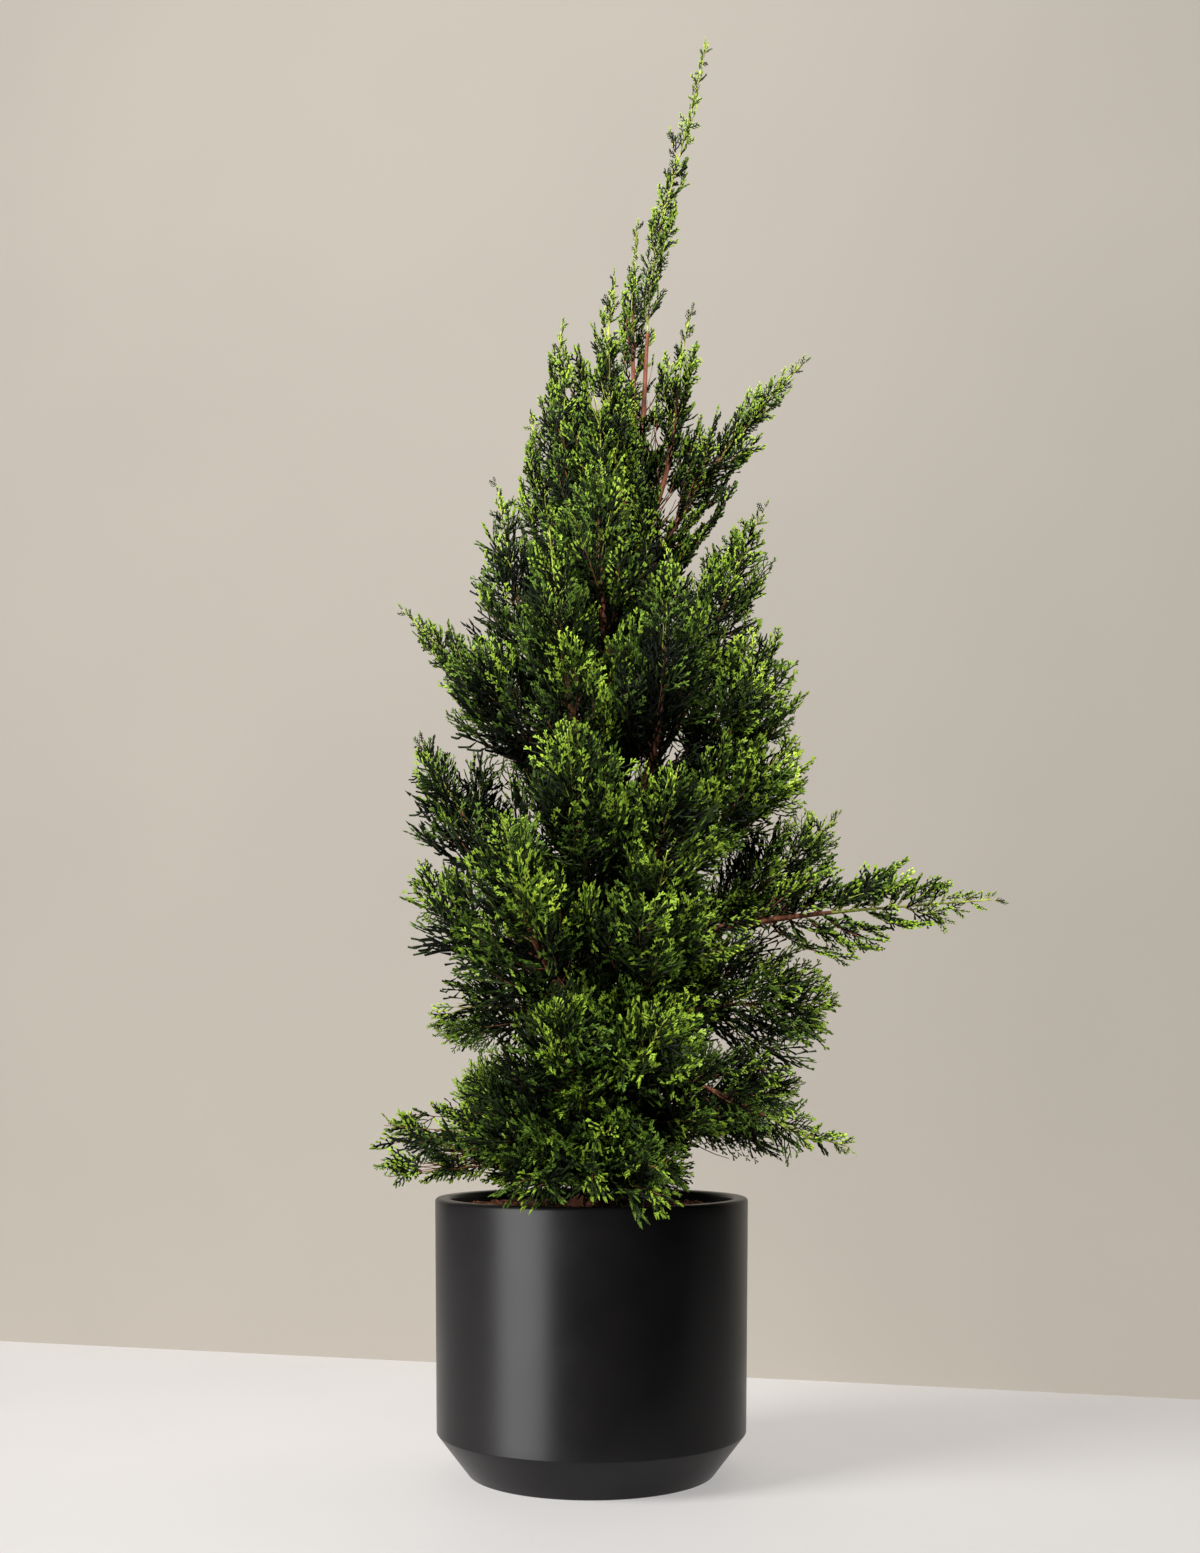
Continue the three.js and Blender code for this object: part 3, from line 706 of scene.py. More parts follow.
def add_limb(part, each, low, high):
    """The stem of a plume from one share of its length to another, as points and faces of a part."""
    points, faces = part
    count = max(4, round(each.length * (high - low) / BOUGH_RING_GAP))
    rings = []
    for step in range(count + 1):
        share = lerp(low, high, step / count)
        first, second = cross_axes(way_on(each, share), each.across)
        centre = point_on(each, share)
        slimness = lerp(1, GREEN_SLIMNESS, min(1, max(0, (share - each.green_from + 0.2) / 0.3)))
        ring = []
        for side in range(BOUGH_SIDES):
            turn = 2 * pi * side / BOUGH_SIDES
            strips = bark_strips(turn, each.length * share + each.foot, BOUGH_FINENESS)
            relief = 1 + BOUGH_RELIEF * strips
            radius = stem_radius(each, share) * relief * slimness
            ring.append(centre + first * radius * cos(turn) + second * radius * sin(turn))
        rings.append(ring)
    ring_points, ring_faces = skinned(rings)
    base = len(points)
    points += ring_points
    faces += [tuple(base + corner for corner in face) for face in ring_faces]


for each in plumes:
    turns_green = each.green_from = GREEN_STEMS.get(each.name, GREEN_FROM)
    if turns_green > 0:
        add_limb(woody, each, STEM_START, turns_green)
    if turns_green < STEM_END:
        add_limb(green, each, turns_green, STEM_END)

boughs = solid("boughs_bark", *woody, bark)
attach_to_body(boughs, "root")
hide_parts(*[f"bough_{each.name}" for each in plumes if each.has_bough])

young_bark, shader, node = new_material("young_green_bark", 0.6)
flush = grain(node, 55, 3, 0.5)
coloured(shader, flush, [
    (0.35, (0.200, 0.150, 0.030)), (0.50, (0.330, 0.370, 0.045)), (0.65, (0.420, 0.520, 0.070)),
])
bumped(shader, flush, 0.3, 0.0006)
green_stems = solid("young_stems", *green, young_bark)
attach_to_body(green_stems, "root")

# Shoots: side twigs that leave a plume's stem all round, turned by the golden angle from one to
# the next, and sweep up beside it. Their tips give the plume its outline.
GOLDEN_ANGLE = 137.5
SHOOT_SPACING = 4.6 * MM
SHOOT_SPACING_BY_GIRTH = 0.028
SHOOT_LEANS = (54, 18)
SHOOT_STRAY = 12
UPRIGHT_LEANS = (40, 6)
UPRIGHT_GIRTH = 50 * MM
SHOOT_STEPS = 6
SHOOT_OUTWARD = 0.56
UPRIGHT_OUTWARD = 0.7
SPRIG_OUTWARD = 0.45
SHORTEST_SHOOT = 6 * MM
SHOOT_LIFT = 0.34
SHOOT_FORWARD = 1.35
SHOOT_RADIUS = 0.65 * MM
SHOOT_TAPER = (1.35, 0.45)
TWIG_SIDES = 4
GREEN_SHOOTS_FROM = 0.5
SPRIG_LENGTH = 42 * MM
SPRIG_SHARE_OF_GIRTH = 0.5
SHORTEST_SPRIG = 10 * MM
SHOOT_BEND = 0.45
LAST_SHOOT = 0.985
SHORT_SHARE = 0.28
SHORT_FILLS = (0.40, 0.72)
LONG_FILLS = (0.85, 1.15)
THINNED_UP_TO = 0.84
FRESHNESS_SPREAD = (-0.17, 0.21)
PLACE_STRAY = 0.7
TURN_STRAY = 50
SPRIG_SPARE = 5 * MM
SPRIG_ROLL = 0.7
LEVEL_ROLL = 1.6

# A comb's shoots swell and shrink in waves
COMB_WAVES = 5
COMB_START = 0.4
COMB_FILLS = (0.55, 1.15)
COMB_SPRIG = 0.85

# Below this height and beyond this place to the right the soil stays open to view
OPEN_BELOW = 300 * MM
OPEN_FROM = 80 * MM
STEEP = 60

shoots = []


def reach_inside(each, along, wanted):
    """How far out a shoot may end and stay in the plume. It starts at a share of the leafy part."""
    low, high = 0.0, wanted
    for _ in range(12):
        middle = (low + high) / 2
        end = min(1, along + SHOOT_FORWARD * middle / each.leafy)
        if middle < wanted * fullness(each, end):
            low = middle
        else:
            high = middle
    return low


def in_box(points, margin):
    """Whether points stay a margin inside the solids' box."""
    low, high = np.array(cad_box)
    return ((points >= low + margin) & (points <= high - margin)).all()


def add_shoot(each, along, root, way, out, reach, lift, sprig_length, random, roll=SPRIG_ROLL, fill=1.0):
    """A side twig from its root, which leaves along out and bends towards way and up. Its sprigs roll
    out of the plane it bends across, and are lighter the more it fills its plume, for newer growth and
    for painted light, so that short shoots in the recesses get a painted shade."""
    upright = each.girth < UPRIGHT_GIRTH
    leans = UPRIGHT_LEANS if upright else SHOOT_LEANS
    outward = (reach - SPRIG_OUTWARD * sprig_length) / (UPRIGHT_OUTWARD if upright else 1)
    length = max(SHORTEST_SHOOT, outward / SHOOT_OUTWARD)
    bend = random.uniform(-SHOOT_BEND, SHOOT_BEND)
    stray = random.uniform(-SHOOT_STRAY, SHOOT_STRAY)
    points = [root]
    for step in range(SHOOT_STEPS):
        run = (step + 0.5) / SHOOT_STEPS
        lean = radians(lerp(*leans, run) + stray)
        side = np.cross(way, out) * bend * run
        points.append(points[-1] + unit(
            way * cos(lean) + out * sin(lean) + side + UP * lift * (0.3 + run)
        ) * length / SHOOT_STEPS)
    if root[2] < OPEN_BELOW and max(point[0] for point in points) > OPEN_FROM:
        return
    if not in_box(np.array(points), 0):
        return
    shoots.append(SimpleNamespace(
        plume=each, along=along, points=np.array(points), length=length, out=out, sprig=sprig_length,
        roll=roll, fill=fill, fresh=each.fresh + random.uniform(*FRESHNESS_SPREAD),
        seed=int(random.integers(1 << 30)),
    ))


for number, each in enumerate(plumes):
    random = np.random.default_rng(SEED + number)
    spacing = each.comb or SHOOT_SPACING + SHOOT_SPACING_BY_GIRTH * each.girth
    count = round(each.leafy / spacing)
    lift = SHOOT_LIFT * sin(radians(max(-30, each.climbs[1])))
    for index in range(count):
        along = (index + 0.5 + PLACE_STRAY * (random.random() - 0.5)) / count
        share = lerp(each.bare, LAST_SHOOT, along)
        way = way_on(each, share)
        first, second = cross_axes(way, each.across)
        turn = radians(GOLDEN_ANGLE * index + TURN_STRAY * (random.random() - 0.5))
        out = first * cos(turn) + second * sin(turn)
        if each.comb:
            upward = UP * (-1 if index % 3 == 2 else 1)
            out = cross_axes(way, upward + first * random.uniform(-0.8, 0.8))[0]
        if random.random() < each.thinned * (along < THINNED_UP_TO):
            continue
        girth = each.girth * fullness(each, along)
        sprig_length = min(SPRIG_LENGTH, SPRIG_SHARE_OF_GIRTH * girth + SPRIG_SPARE)
        sprig_length = max(SHORTEST_SPRIG, sprig_length)
        short = random.random() < SHORT_SHARE and not each.comb
        fill = random.uniform(*(SHORT_FILLS if short else LONG_FILLS))
        if each.comb:
            sprig_length *= COMB_SPRIG
            fill = lerp(*COMB_FILLS, abs(sin(COMB_WAVES * pi * along + COMB_START)))
        reach = reach_inside(each, along, each.girth * fill)
        add_shoot(each, along, point_on(each, share), way, out, reach, lift, sprig_length, random,
                  fill=min(1, fill))


def add_trunk_shoots(count, heights, reaches, climb, lift, seed, bearings=None, newness_and_light=0.8):
    """Short shoots on the trunk itself, which fill the shade between the plumes with dark sprigs, partly
    painted shade, with sizes in mm.
    """
    random = np.random.default_rng(SEED + seed)
    for index in range(count):
        share = (index + random.random()) / count
        height = lerp(heights[0] * MM, heights[1] * MM, share)
        if bearings:
            bearing = random.uniform(*bearings)
        else:
            bearing = GOLDEN_ANGLE * index + random.uniform(-20, 20)
        outward = heading(bearing, 0)
        nearest = min(plumes, key=lambda each: (
            abs(each.foot - height) / (100 * MM)
            + np.linalg.norm(heading(each.bearing, 0) - outward)
        ))
        reach = lerp(reaches[0] * MM, reaches[1] * MM, share) * random.uniform(0.6, 1.15)
        sprig_length = min(SPRIG_LENGTH, SPRIG_SHARE_OF_GIRTH * nearest.girth + SPRIG_SPARE)
        add_shoot(
            nearest, 0.1, trunk_centre(height), heading(bearing, climb), outward, reach, lift,
            sprig_length, random, roll=SPRIG_ROLL if climb > STEEP else LEVEL_ROLL, fill=newness_and_light,
        )


add_trunk_shoots(170, (300, 1010), (92, 34), 80, 0.1, 90)
add_trunk_shoots(70, (272, 335), (90, 90), 10, -0.06, 91)
add_trunk_shoots(44, (275, 330), (164, 140), 6, -0.15, 72, (212, 288))
# Shoots whose sprigs are darker still, a painted shade in the core of the top
add_trunk_shoots(14, (930, 1060), (48, 26), 84, 0.3, 93, newness_and_light=0.4)
add_trunk_shoots(18, (870, 1000), (70, 52), 80, 0.2, 96, (150, 262), newness_and_light=1.0)
add_trunk_shoots(12, (830, 940), (64, 54), 62, 0.2, 97, (-32, 24), newness_and_light=0.9)
add_trunk_shoots(16, (890, 975), (84, 64), 84, 0.3, 98, (160, 216))
add_trunk_shoots(16, (320, 430), (88, 80), 34, 0.1, 99, (286, 350), newness_and_light=1.0)
add_trunk_shoots(18, (540, 650), (64, 64), 28, 0.1, 94, (-24, 16), newness_and_light=1.1)
add_trunk_shoots(16, (450, 530), (92, 92), 22, 0.0, 95, (-20, 12), newness_and_light=1.1)


def attribute(node, name, kind):
    return node("GeometryNodeInputNamedAttribute", {"Name": name}, data_type=kind).outputs["Attribute"]


twine, node, given = node_group("twine_twigs", {
    "Thickness": "Float", "Sides": "Int", "Finish": "Material"})
lines = node("GeometryNodeMeshToCurve", links={"Mesh": given["Geometry"]})
round_line = node("GeometryNodeCurvePrimitiveCircle", {"Radius": 1.0}, {"Resolution": given["Sides"]})
tubes = node("GeometryNodeCurveToMesh", {"Fill Caps": True}, {
    "Curve": lines.outputs["Curve"],
    "Profile Curve": round_line.outputs["Curve"],
    "Scale": times(node, attribute(node, "slimness", "FLOAT"), given["Thickness"]),
})
end_tree(node, tubes.outputs["Mesh"], given["Finish"])


def attach(mesh, name, kind, values):
    """A value or a vector for every point of a mesh."""
    data = mesh.attributes.new(name, kind, "POINT").data
    field = "vector" if kind == "FLOAT_VECTOR" else "value"
    data.foreach_set(field, np.concatenate(values).astype(np.float32))


def twig_lines(name, lines):
    """A mesh of open lines for the twine tree. Each line is its points and their slimness."""
    points, edges = [], []
    for line, _ in lines:
        edges += [(len(points) + step, len(points) + step + 1) for step in range(len(line) - 1)]
        points += list(line)
    mesh = plain_mesh(name, points, edges=edges)
    attach(mesh, "slimness", "FLOAT", [slimness for _, slimness in lines])
    return mesh


taper = np.linspace(*SHOOT_TAPER, SHOOT_STEPS + 1)
brown_lines, green_lines = [], []
for shoot in shoots:
    share = lerp(shoot.plume.bare, 1, shoot.along)
    is_green = share > GREEN_STEMS.get(shoot.plume.name, GREEN_SHOOTS_FROM)
    (green_lines if is_green else brown_lines).append((shoot.points, taper))

# A few dead twigs stand bare beside the trunk's foot, on the right of the front
DEAD_TWIGS = 9
DEAD_SEED = 31
DEAD_FROM = 300
DEAD_TURN = 9
DEAD_LOWEST = 268 * MM
DEAD_STEPS = 7
DEAD_TAPER = (1.3, 0.5)
DEAD_FORKS = (3, 5)
FORK_STEP = 12 * MM
FORK_TAPER = (0.8, 0.4)
dead_random = np.random.default_rng(DEAD_SEED)
for index in range(DEAD_TWIGS):
    bearing = DEAD_FROM + DEAD_TURN * index + dead_random.uniform(-6, 6)
    point = trunk_centre(DEAD_LOWEST + dead_random.uniform(0, 70) * MM)
    course = heading(bearing, dead_random.uniform(0, 50))
    points = [point]
    for step in range(DEAD_STEPS):
        course = unit(course + dead_random.normal(0, 0.22, 3))
        points.append(points[-1] + course * dead_random.uniform(9, 15) * MM)
    brown_lines.append((np.array(points), np.linspace(*DEAD_TAPER, DEAD_STEPS + 1)))
    for fork in DEAD_FORKS:
        side = unit(course + dead_random.normal(0, 0.8, 3))
        forked = np.array([points[fork] + side * FORK_STEP * step for step in range(4)])
        brown_lines.append((forked, np.linspace(*FORK_TAPER, 4)))

for name, lines, finish in [
    ("twigs_brown", brown_lines, bark),
    ("twigs_green", green_lines, young_bark),
]:
    twigs = grown(name, twig_lines(name, lines), twine, {
        "Thickness": SHOOT_RADIUS, "Sides": TWIG_SIDES, "Finish": finish})
    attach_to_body(twigs, "root")

# Foliage: flat sprigs of thin scale-leaved branchlets that fork again near their ends. They line
# every shoot on either side. Old growth inside is dark, and new growth at the ends yellow-green;
# the dark inside is partly painted shade, and the lighter outer sprigs partly painted light.
SPRIG_SPACING = 8.2 * MM
SPRIG_KINDS = 8
SPRIG_SEED = 700
SPRIG_ANGLE = 38
SPRIG_RISE = 0.12
LEAST_SPACING = 0.4
FIRST_SPRIG = 0.1
TUFT_BELOW = 25 * MM
FLAT_STRAY = 0.25
SIZE_ALONG_SHOOT = (1.05, 0.8)
RIM_CLEARANCE = 2 * MM
RIM_OVERHANG = 5 * MM
DEEPEST_DROOP = 22 * MM


def strand(part, start, end, radius):
    """A branchlet of four faces, as thick at its foot one way as it is near its end the other, that
    joins the points and faces of a part."""
    points, faces = part
    along = end - start
    first, second = cross_axes(unit(along), np.array([0.1, 0.2, 1.0]))
    base = len(points)
    points += [start - first * radius, start + first * radius,
               end - along * 0.04 - second * radius * 0.75, end + second * radius * 0.75]
    faces += [(base, base + 2, base + 1), (base, base + 3, base + 2), (base + 1, base + 2, base + 3),
              (base, base + 1, base + 3)]


def sprig(name, kind, strands, bends, spurs, radius, reach):
    """The body and the tips of a sprig, a unit long along X and nearly flat in XY. Its strands leave
    the axis in turn on either side and bend forward, and spurs fork from their last bend."""
    random = np.random.default_rng(SPRIG_SEED + kind)
    body, tips = ([], []), ([], [])
    bow, rise = random.uniform(-0.22, 0.22), random.uniform(-0.06, 0.1)

    def axis(share):
        return np.array([share, bow * share * share, rise * sin(2.6 * share)])

    strand(body, axis(0), axis(0.5), radius)
    strand(body, axis(0.46), axis(0.82), radius)
    strand(tips, axis(0.78), axis(1.0), radius)
    for index in range(strands):
        hand = 1 if (index + kind) % 2 else -1
        share = 0.04 + 0.76 * index / (strands - 1) + random.uniform(-0.03, 0.03)
        leaves = radians(random.uniform(38, 54))
        arrives = radians(random.uniform(-6, 16))
        lift = random.uniform(-0.2, 0.2)
        length = (reach - 0.55 * reach * share) * random.uniform(0.8, 1.2)
        place = axis(share)
        for bend in range(bends):
            angle = hand * lerp(leaves, arrives, bend / (bends - 1))
            way = unit(np.array([cos(angle), sin(angle), lift]))
            after = place + way * length / bends
            end = after + way * length * 0.04
            if bend < bends - 1:
                strand(body, place, end, radius)
                place = after
                continue
            strand(tips, place, end, radius)
            for spur in range(spurs):
                turned = angle + (1 if spur % 2 else -1) * radians(random.uniform(28, 46))
                rise_aside = lift + random.uniform(-0.3, 0.3)
                aside = unit(np.array([cos(turned), sin(turned), rise_aside]))
                root = place + (after - place) * 0.35 * spur
                strand(tips, root, root + aside * random.uniform(0.10, 0.16), radius * 1.1)
    return plain_mesh(f"{name}_body_{kind}", *body), plain_mesh(f"{name}_tips_{kind}", *tips)


# Fans of long strands, short stout tufts for slender plumes, and plain coarse ones for the shade,
# in painted shade colours
SPRIG_FORMS = {
    "fan": {"strands": 7, "bends": 3, "spurs": 2, "radius": 0.029, "reach": 0.78},
    "tuft": {"strands": 6, "bends": 2, "spurs": 0, "radius": 0.066, "reach": 0.5},
    "coarse": {"strands": 5, "bends": 2, "spurs": 0, "radius": 0.045, "reach": 0.75},
}
stocks = {}
for name, form in SPRIG_FORMS.items():
    bodies, tips = zip(*[sprig(name, kind, **form) for kind in range(SPRIG_KINDS)])
    stocks[name] = (stock(f"{name}_body", bodies), stock(f"{name}_tips", tips))

# Shades, from the old growth deep inside to the newest tips. The darkest are partly painted shade
# for the crown's inside, and the lightest partly painted light on its outside.
SHADES = {
    "shaded": (0.0032, 0.0060, 0.0020),
    "deep": (0.0170, 0.0320, 0.0055),
    "green": (0.0820, 0.1500, 0.0170),
    "bright": (0.2400, 0.3700, 0.0340),
    "tip": (0.4100, 0.5600, 0.0520),
}
foliage_finish = {}
for shade, colour in SHADES.items():
    foliage_finish[shade], shader, _ = new_material(f"foliage_{shade}", 0.6, 0.14)
    shader.inputs["Base Color"].default_value = (*colour, 1)

# Each rank of sprigs, from the inside out, the inner ones in painted shade: its stock, and the
# shades of its bodies and its tips
RANKS = [
    ("coarse", "shaded", "shaded"), ("coarse", "shaded", "deep"), ("fan", "deep", "green"),
    ("fan", "deep", "bright"), ("fan", "green", "tip"),
]
TUFT_RANKS = [
    ("tuft", "shaded", "deep"), ("tuft", "shaded", "green"), ("tuft", "shaded", "bright"),
    ("tuft", "deep", "bright"), ("tuft", "green", "tip"),
]

# What makes a sprig new and lit enough for a rank, and how often one is older than its place says
RANK_LIMITS = [0.28, 0.44, 0.60, 0.86]
LEAST_NEW = 0.06
LIGHTER_ALONG_SHOOT = 0.46
LIGHTER_ALONG_PLUME = 0.22
DARKER_WITH_HEIGHT = 0.02
MIDDLE_HEIGHT = 0.7
NEW_BY_CHANCE = 0.26
OLD_SHARE = 0.24
OLD_BY = 0.24

# Openings where the wall shows through the crown, each by its place across, its height and its
# radius on the upright plane through the trunk's foot, as seen from the camera's place
OPENINGS = [
    (172, 633, 9), (179, 703, 9), (78, 957, 11), (-108, 553, 9), (63, 1027, 10), (81, 702, 10),
    (71, 594, 10), (140, 823, 7), (-88, 520, 7), (4, 1066, 7), (-58, 734, 8), (122, 371, 7),
    (146, 432, 7), (42, 678, 10), (52, 423, 8), (-54, 505, 6), (-150, 591, 9), (-129, 678, 9),
    (-127, 448, 8), (128, 925, 9), (109, 306, 14), (114, 281, 15), (134, 271, 12), (58, 1099, 8),
    (57, 1067, 8), (-7, 1120, 5), (21, 1144, 6), (85, 1099, 5), (-23, 1075, 5), (-176, 310, 5),
    (-157, 330, 7), (-143, 306, 7), (-127, 326, 6), (-159, 289, 7), (-121, 297, 8), (-184, 328, 4),
    (-104, 289, 8),
]
openings = np.array(OPENINGS) * MM


def in_opening(points):
    """Whether one of the points hides an opening from the camera's place."""
    place = np.array(CAMERA_PLACE)
    for point in points:
        seen = place + (point - place) * place[1] / (place[1] - point[1])
        if (np.hypot(openings[:, 0] - seen[0], openings[:, 1] - seen[2]) < openings[:, 2]).any():
            return True
    return False


sprigs = []
for shoot in shoots:
    each = shoot.plume
    random = np.random.default_rng(shoot.seed)
    closeness = LEAST_SPACING + (1 - LEAST_SPACING) * shoot.sprig / SPRIG_LENGTH
    count = max(1, round(shoot.length * (1 - FIRST_SPRIG) / (SPRIG_SPACING * closeness)))
    hand = 1
    for index in range(count + 1):
        run = FIRST_SPRIG + (1 - FIRST_SPRIG) * index / count
        place = run * SHOOT_STEPS
        step = min(SHOOT_STEPS - 1, int(place))
        start, end = shoot.points[step], shoot.points[step + 1]
        root = start + (end - start) * (place - step)
        way = unit(end - start)
        first, second = cross_axes(way, shoot.out)
        roll = random.uniform(-shoot.roll, shoot.roll)
        hand = -hand
        side = (second * cos(roll) + first * sin(roll)) * hand
        angle = radians(SPRIG_ANGLE * (0 if index == count else 1) + random.uniform(-10, 10))
        along = unit(way * cos(angle) + side * sin(angle) + UP * SPRIG_RISE)
        flat = cross_axes(along, side + random.normal(0, FLAT_STRAY, 3))[0]
        size = shoot.sprig * lerp(*SIZE_ALONG_SHOOT, run) * random.uniform(0.75, 1.2)
        tip = root + along * size
        low = min(root[2], tip[2])
        over_pot = hypot(tip[0], tip[1]) < RIM_RADIUS + RIM_OVERHANG
        if low < POT_HEIGHT + RIM_CLEARANCE and over_pot:
            continue
        if low < POT_HEIGHT - DEEPEST_DROOP or (low < OPEN_BELOW and root[0] > OPEN_FROM):
            continue
        if not in_box(tip, 0.2 * size - 4 * MM) or in_opening((root, (root + tip) / 2, tip)):
            continue
        # A sprig is lighter towards its shoot's end, on shoots that fill the plume and towards the
        # plume's tip, and a little darker higher up: partly newer growth, partly painted light outside
        # and painted shade in the recesses and the crown's inside.
        newness_and_light = LEAST_NEW + LIGHTER_ALONG_SHOOT * run * shoot.fill + LIGHTER_ALONG_PLUME * shoot.along
        newness_and_light = newness_and_light - DARKER_WITH_HEIGHT * (tip[2] - MIDDLE_HEIGHT) + shoot.fresh
        newness_and_light += NEW_BY_CHANCE * random.random() - (OLD_BY if random.random() < OLD_SHARE else 0)
        rank = int(np.searchsorted(RANK_LIMITS, newness_and_light))
        is_tuft = size < TUFT_BELOW or each.comb > 0
        sprigs.append((each.area, is_tuft, rank, root, along, flat, size))

sprout, node, given = node_group("sprout_sprigs", {
    "Sprigs": "Collection", "Sprig Length": "Float", "Seed": "Int", "Finish": "Material"})
spots = node("GeometryNodeMeshToPoints", links={"Mesh": given["Geometry"]})
ways = {index: attribute(node, name, "FLOAT_VECTOR") for index, name in enumerate(("along", "flat"))}
turned = node("FunctionNodeAxesToRotation", links=ways, primary_axis="X", secondary_axis="Y")
length = times(node, attribute(node, "size", "FLOAT"), given["Sprig Length"])
end_in_patterns(node, given, spots, given["Sprigs"], SPRIG_KINDS, turned.outputs["Rotation"], length)


def sprig_spots(name, chosen):
    """A mesh of loose points, each with the way, the flat and the size of its sprig."""
    roots, along, flat, sizes = zip(*chosen)
    mesh = plain_mesh(name, roots)
    attach(mesh, "along", "FLOAT_VECTOR", along)
    attach(mesh, "flat", "FLOAT_VECTOR", flat)
    attach(mesh, "size", "FLOAT", [[size / SPRIG_LENGTH] for size in sizes])
    return mesh


def joined(name, objects):
    """One object from several, which all have the same material."""
    first = objects[0]
    if len(objects) > 1:
        with bpy.context.temp_override(active_object=first, selected_editable_objects=objects):
            bpy.ops.object.join()
    first.name = first.data.name = name
    return first


for area in ("top", "left", "right", "front", "back"):
    nodes = [f"foliage_{each.name}" for each in plumes if each.area == area]
    grown_by_shade = {shade: [] for shade in SHADES}
    for is_tuft, ranks in ((False, RANKS), (True, TUFT_RANKS)):
        for rank, (kind, *shades) in enumerate(ranks):
            chosen = [spot[3:] for spot in sprigs if spot[:3] == (area, is_tuft, rank)]
            for patterns, shade in zip(stocks[kind], shades) if chosen else ():
                name = f"{patterns.name}_{area}_{rank}"
                grown_by_shade[shade].append(grown(name, sprig_spots(name, chosen), sprout, {
                    "Sprigs": patterns, "Sprig Length": SPRIG_LENGTH, "Seed": 3 + rank,
                    "Finish": foliage_finish[shade]}))
    for shade, parts in grown_by_shade.items():
        if parts:
            piece = joined(f"foliage_{area}_{shade}", parts)
            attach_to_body(piece, "root")
            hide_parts(*nodes)
for patterns in sum(stocks.values(), ()):
    clear_stock(patterns)

# Room: a pale floor, a plain warm wall that runs back to the left, and soft light from windows
# on the upper left.
WALL_LEFT = (-0.89, 0.82)
WALL_RIGHT = (0.72, 0.36)
WALL_BEYOND = 0.12
WALL_HEIGHT = 3.5
FLOOR_SPREAD = 4
FLOOR_FRONT = -0.32


def plain_finish(name, colour, roughness):
    """A matt finish that is a little cloudy."""
    material, shader, node = new_material(name, roughness)
    darker = tuple(0.97 * value for value in colour)
    coloured(shader, grain(node, 2.5, 2, 0.5), [(0.35, darker), (0.65, colour)])
    return material


def sheet(name, corners):
    return new_object(name, plain_mesh(name, corners, [(0, 1, 2, 3)]))


floor = sheet("floor", [
    (-FLOOR_SPREAD, FLOOR_FRONT, 0),
    (FLOOR_SPREAD, FLOOR_FRONT, 0),
    (FLOOR_SPREAD, FLOOR_SPREAD, 0),
    (-FLOOR_SPREAD, FLOOR_SPREAD, 0),
])
floor.data.materials.append(plain_finish("pale_floor", (0.80, 0.785, 0.78), 0.6))
along = (Vector(WALL_RIGHT) - Vector(WALL_LEFT)).normalized()
left = Vector(WALL_LEFT) - along * WALL_BEYOND
right = Vector(WALL_RIGHT) + along * WALL_BEYOND
wall = sheet("wall", [
    (left.x, left.y, 0),
    (right.x, right.y, 0),
    (right.x, right.y, WALL_HEIGHT),
    (left.x, left.y, WALL_HEIGHT),
])
wall.data.materials.append(plain_finish("warm_wall", (0.58, 0.535, 0.475), 0.8))


# Light: each light shines on some things only. The windows shine on the planter or on the plant,
# and the floor and the wall have lights of their own, the wall's clear of the plant's shadow.
def gathered(name, objects, state="INCLUDE"):
    """A collection that a light takes in or leaves out."""
    group = bpy.data.collections.new(name)
    for each in objects:
        group.objects.link(each)
    for entry in group.collection_objects:
        entry.light_linking.link_state = state
    return group


floor_alone = gathered("floor_alone", [floor])
wall_alone = gathered("wall_alone", [wall])
planter_alone = gathered("planter_alone", [planter])
plant_alone = gathered("plant_alone", [floor, wall, planter], "EXCLUDE")


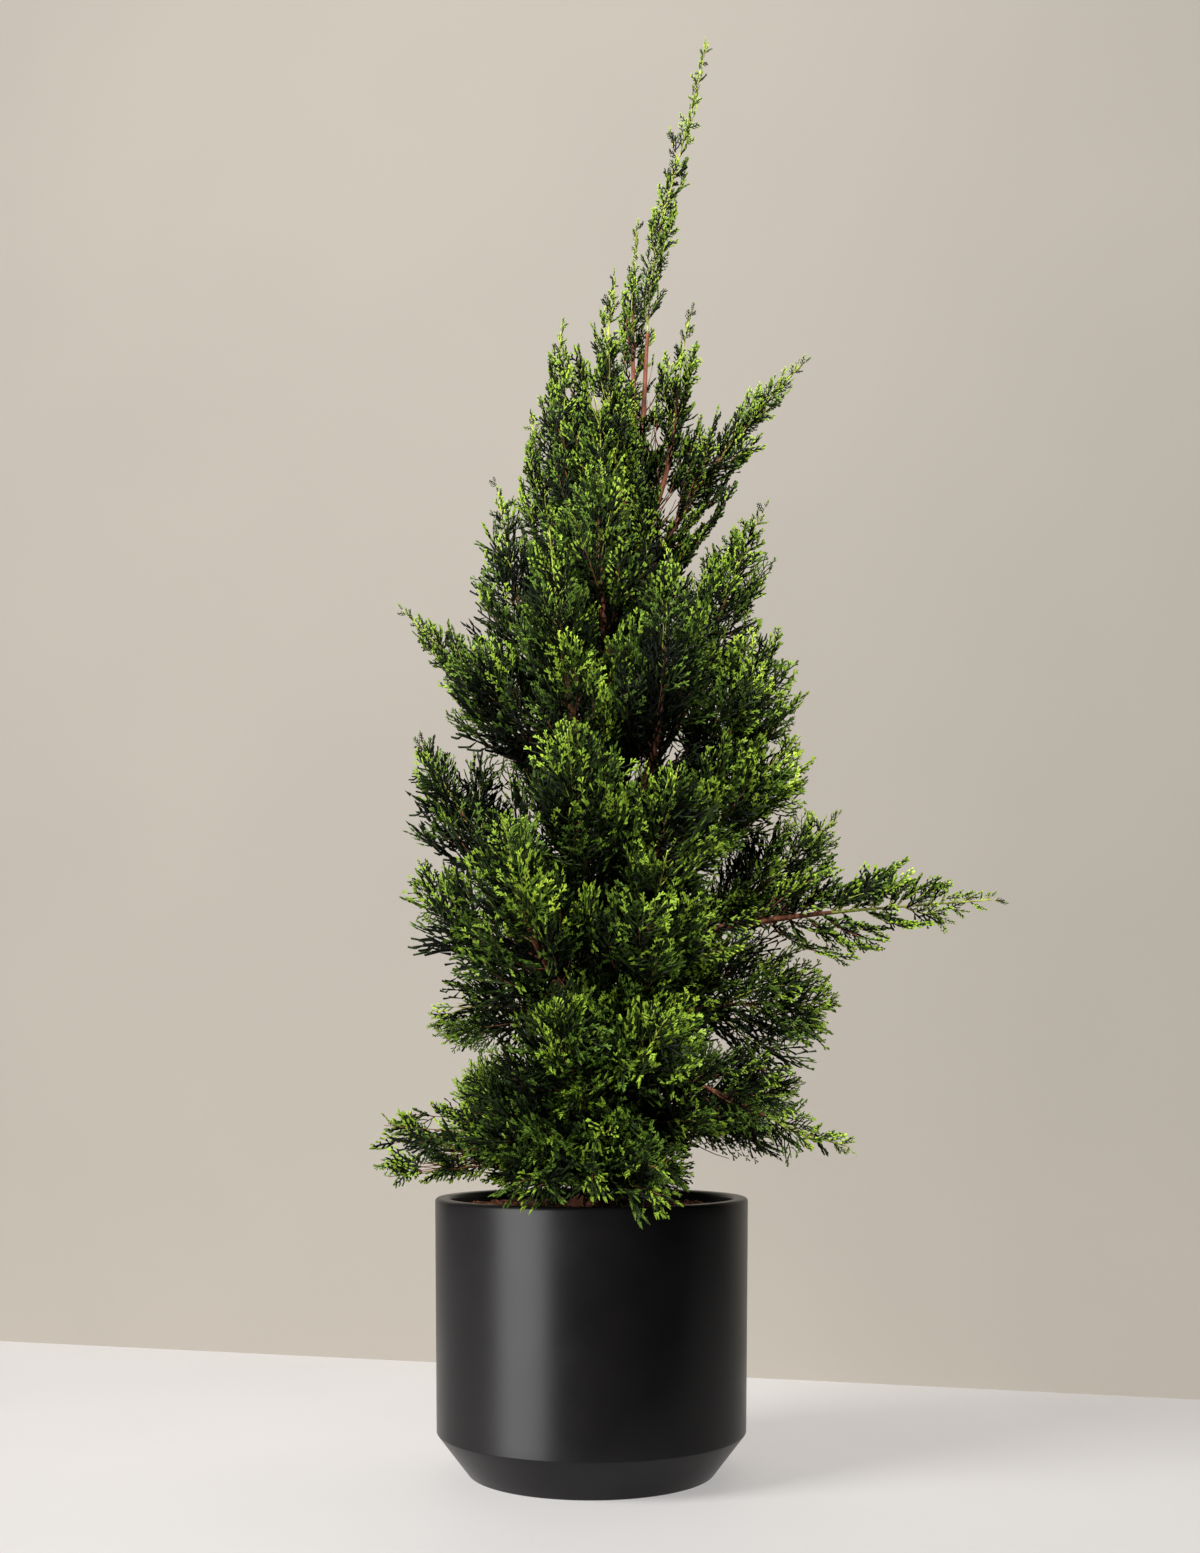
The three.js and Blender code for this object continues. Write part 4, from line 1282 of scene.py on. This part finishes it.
def window(name, place, aim, size, power, colour, shines_on):
    light = bpy.data.lights.new(name, "AREA")
    light.shape = "RECTANGLE"
    light.size, light.size_y = size
    light.energy = power
    light.color = colour
    lamp = bpy.data.objects.new(name, light)
    lamp.location = place
    lamp.rotation_euler = (Vector(aim) - Vector(place)).to_track_quat("-Z", "Y").to_euler()
    lamp.light_linking.receiver_collection = shines_on
    scene.collection.objects.link(lamp)
    return lamp


DAYLIGHT = (1.0, 0.985, 0.97)
WARM_DAYLIGHT = (1.0, 0.975, 0.94)
on_planter = window(
    "window_on_planter", (-1.83, -1.57, 0.5), (0, 0, 0.35), (1.6, 2.6), 160, (1.0, 0.985, 0.98),
    planter_alone,
)
on_planter.light_linking.blocker_collection = gathered("floor_lets_through", [floor], "EXCLUDE")
window("window_on_plant", (-1.97, -1.38, 0.5), (0, 0, 0.35), (1.7, 2.6), 66, DAYLIGHT, plant_alone)
window("window_high_left", (-1.5, -1.5, 2.5), (0, 0, 0.6), (0.7, 0.7), 74, WARM_DAYLIGHT, plant_alone)
window("window_high_right", (0.6, -1.9, 2.5), (0, 0, 0.7), (0.7, 0.7), 105, WARM_DAYLIGHT, plant_alone)
window("window_on_floor", (-3.4, -2.0, 2.2), (0, 0.1, 0), (1.8, 2.0), 125, DAYLIGHT, floor_alone)
on_floor = window(
    "light_on_floor", (0, -1.0, 3.0), (0, 0.2, 0), (3.0, 2.4), 72, (1.0, 0.99, 0.98), floor_alone)
on_floor.light_linking.blocker_collection = floor_alone
on_wall = window(
    "light_on_wall", (-1.2, -2.4, 2.2), (0, 0.6, 1.1), (2.5, 2.5), 122, (1.0, 0.985, 0.96), wall_alone)
on_wall.light_linking.blocker_collection = wall_alone

world = bpy.data.worlds.new("room")
scene.world = world
world.use_nodes = True
background = world.node_tree.nodes["Background"]
background.inputs["Color"].default_value = (1.0, 0.98, 0.95, 1)
background.inputs["Strength"].default_value = 0.08
world.cycles_visibility.glossy = False
scene.view_settings.view_transform = "Standard"
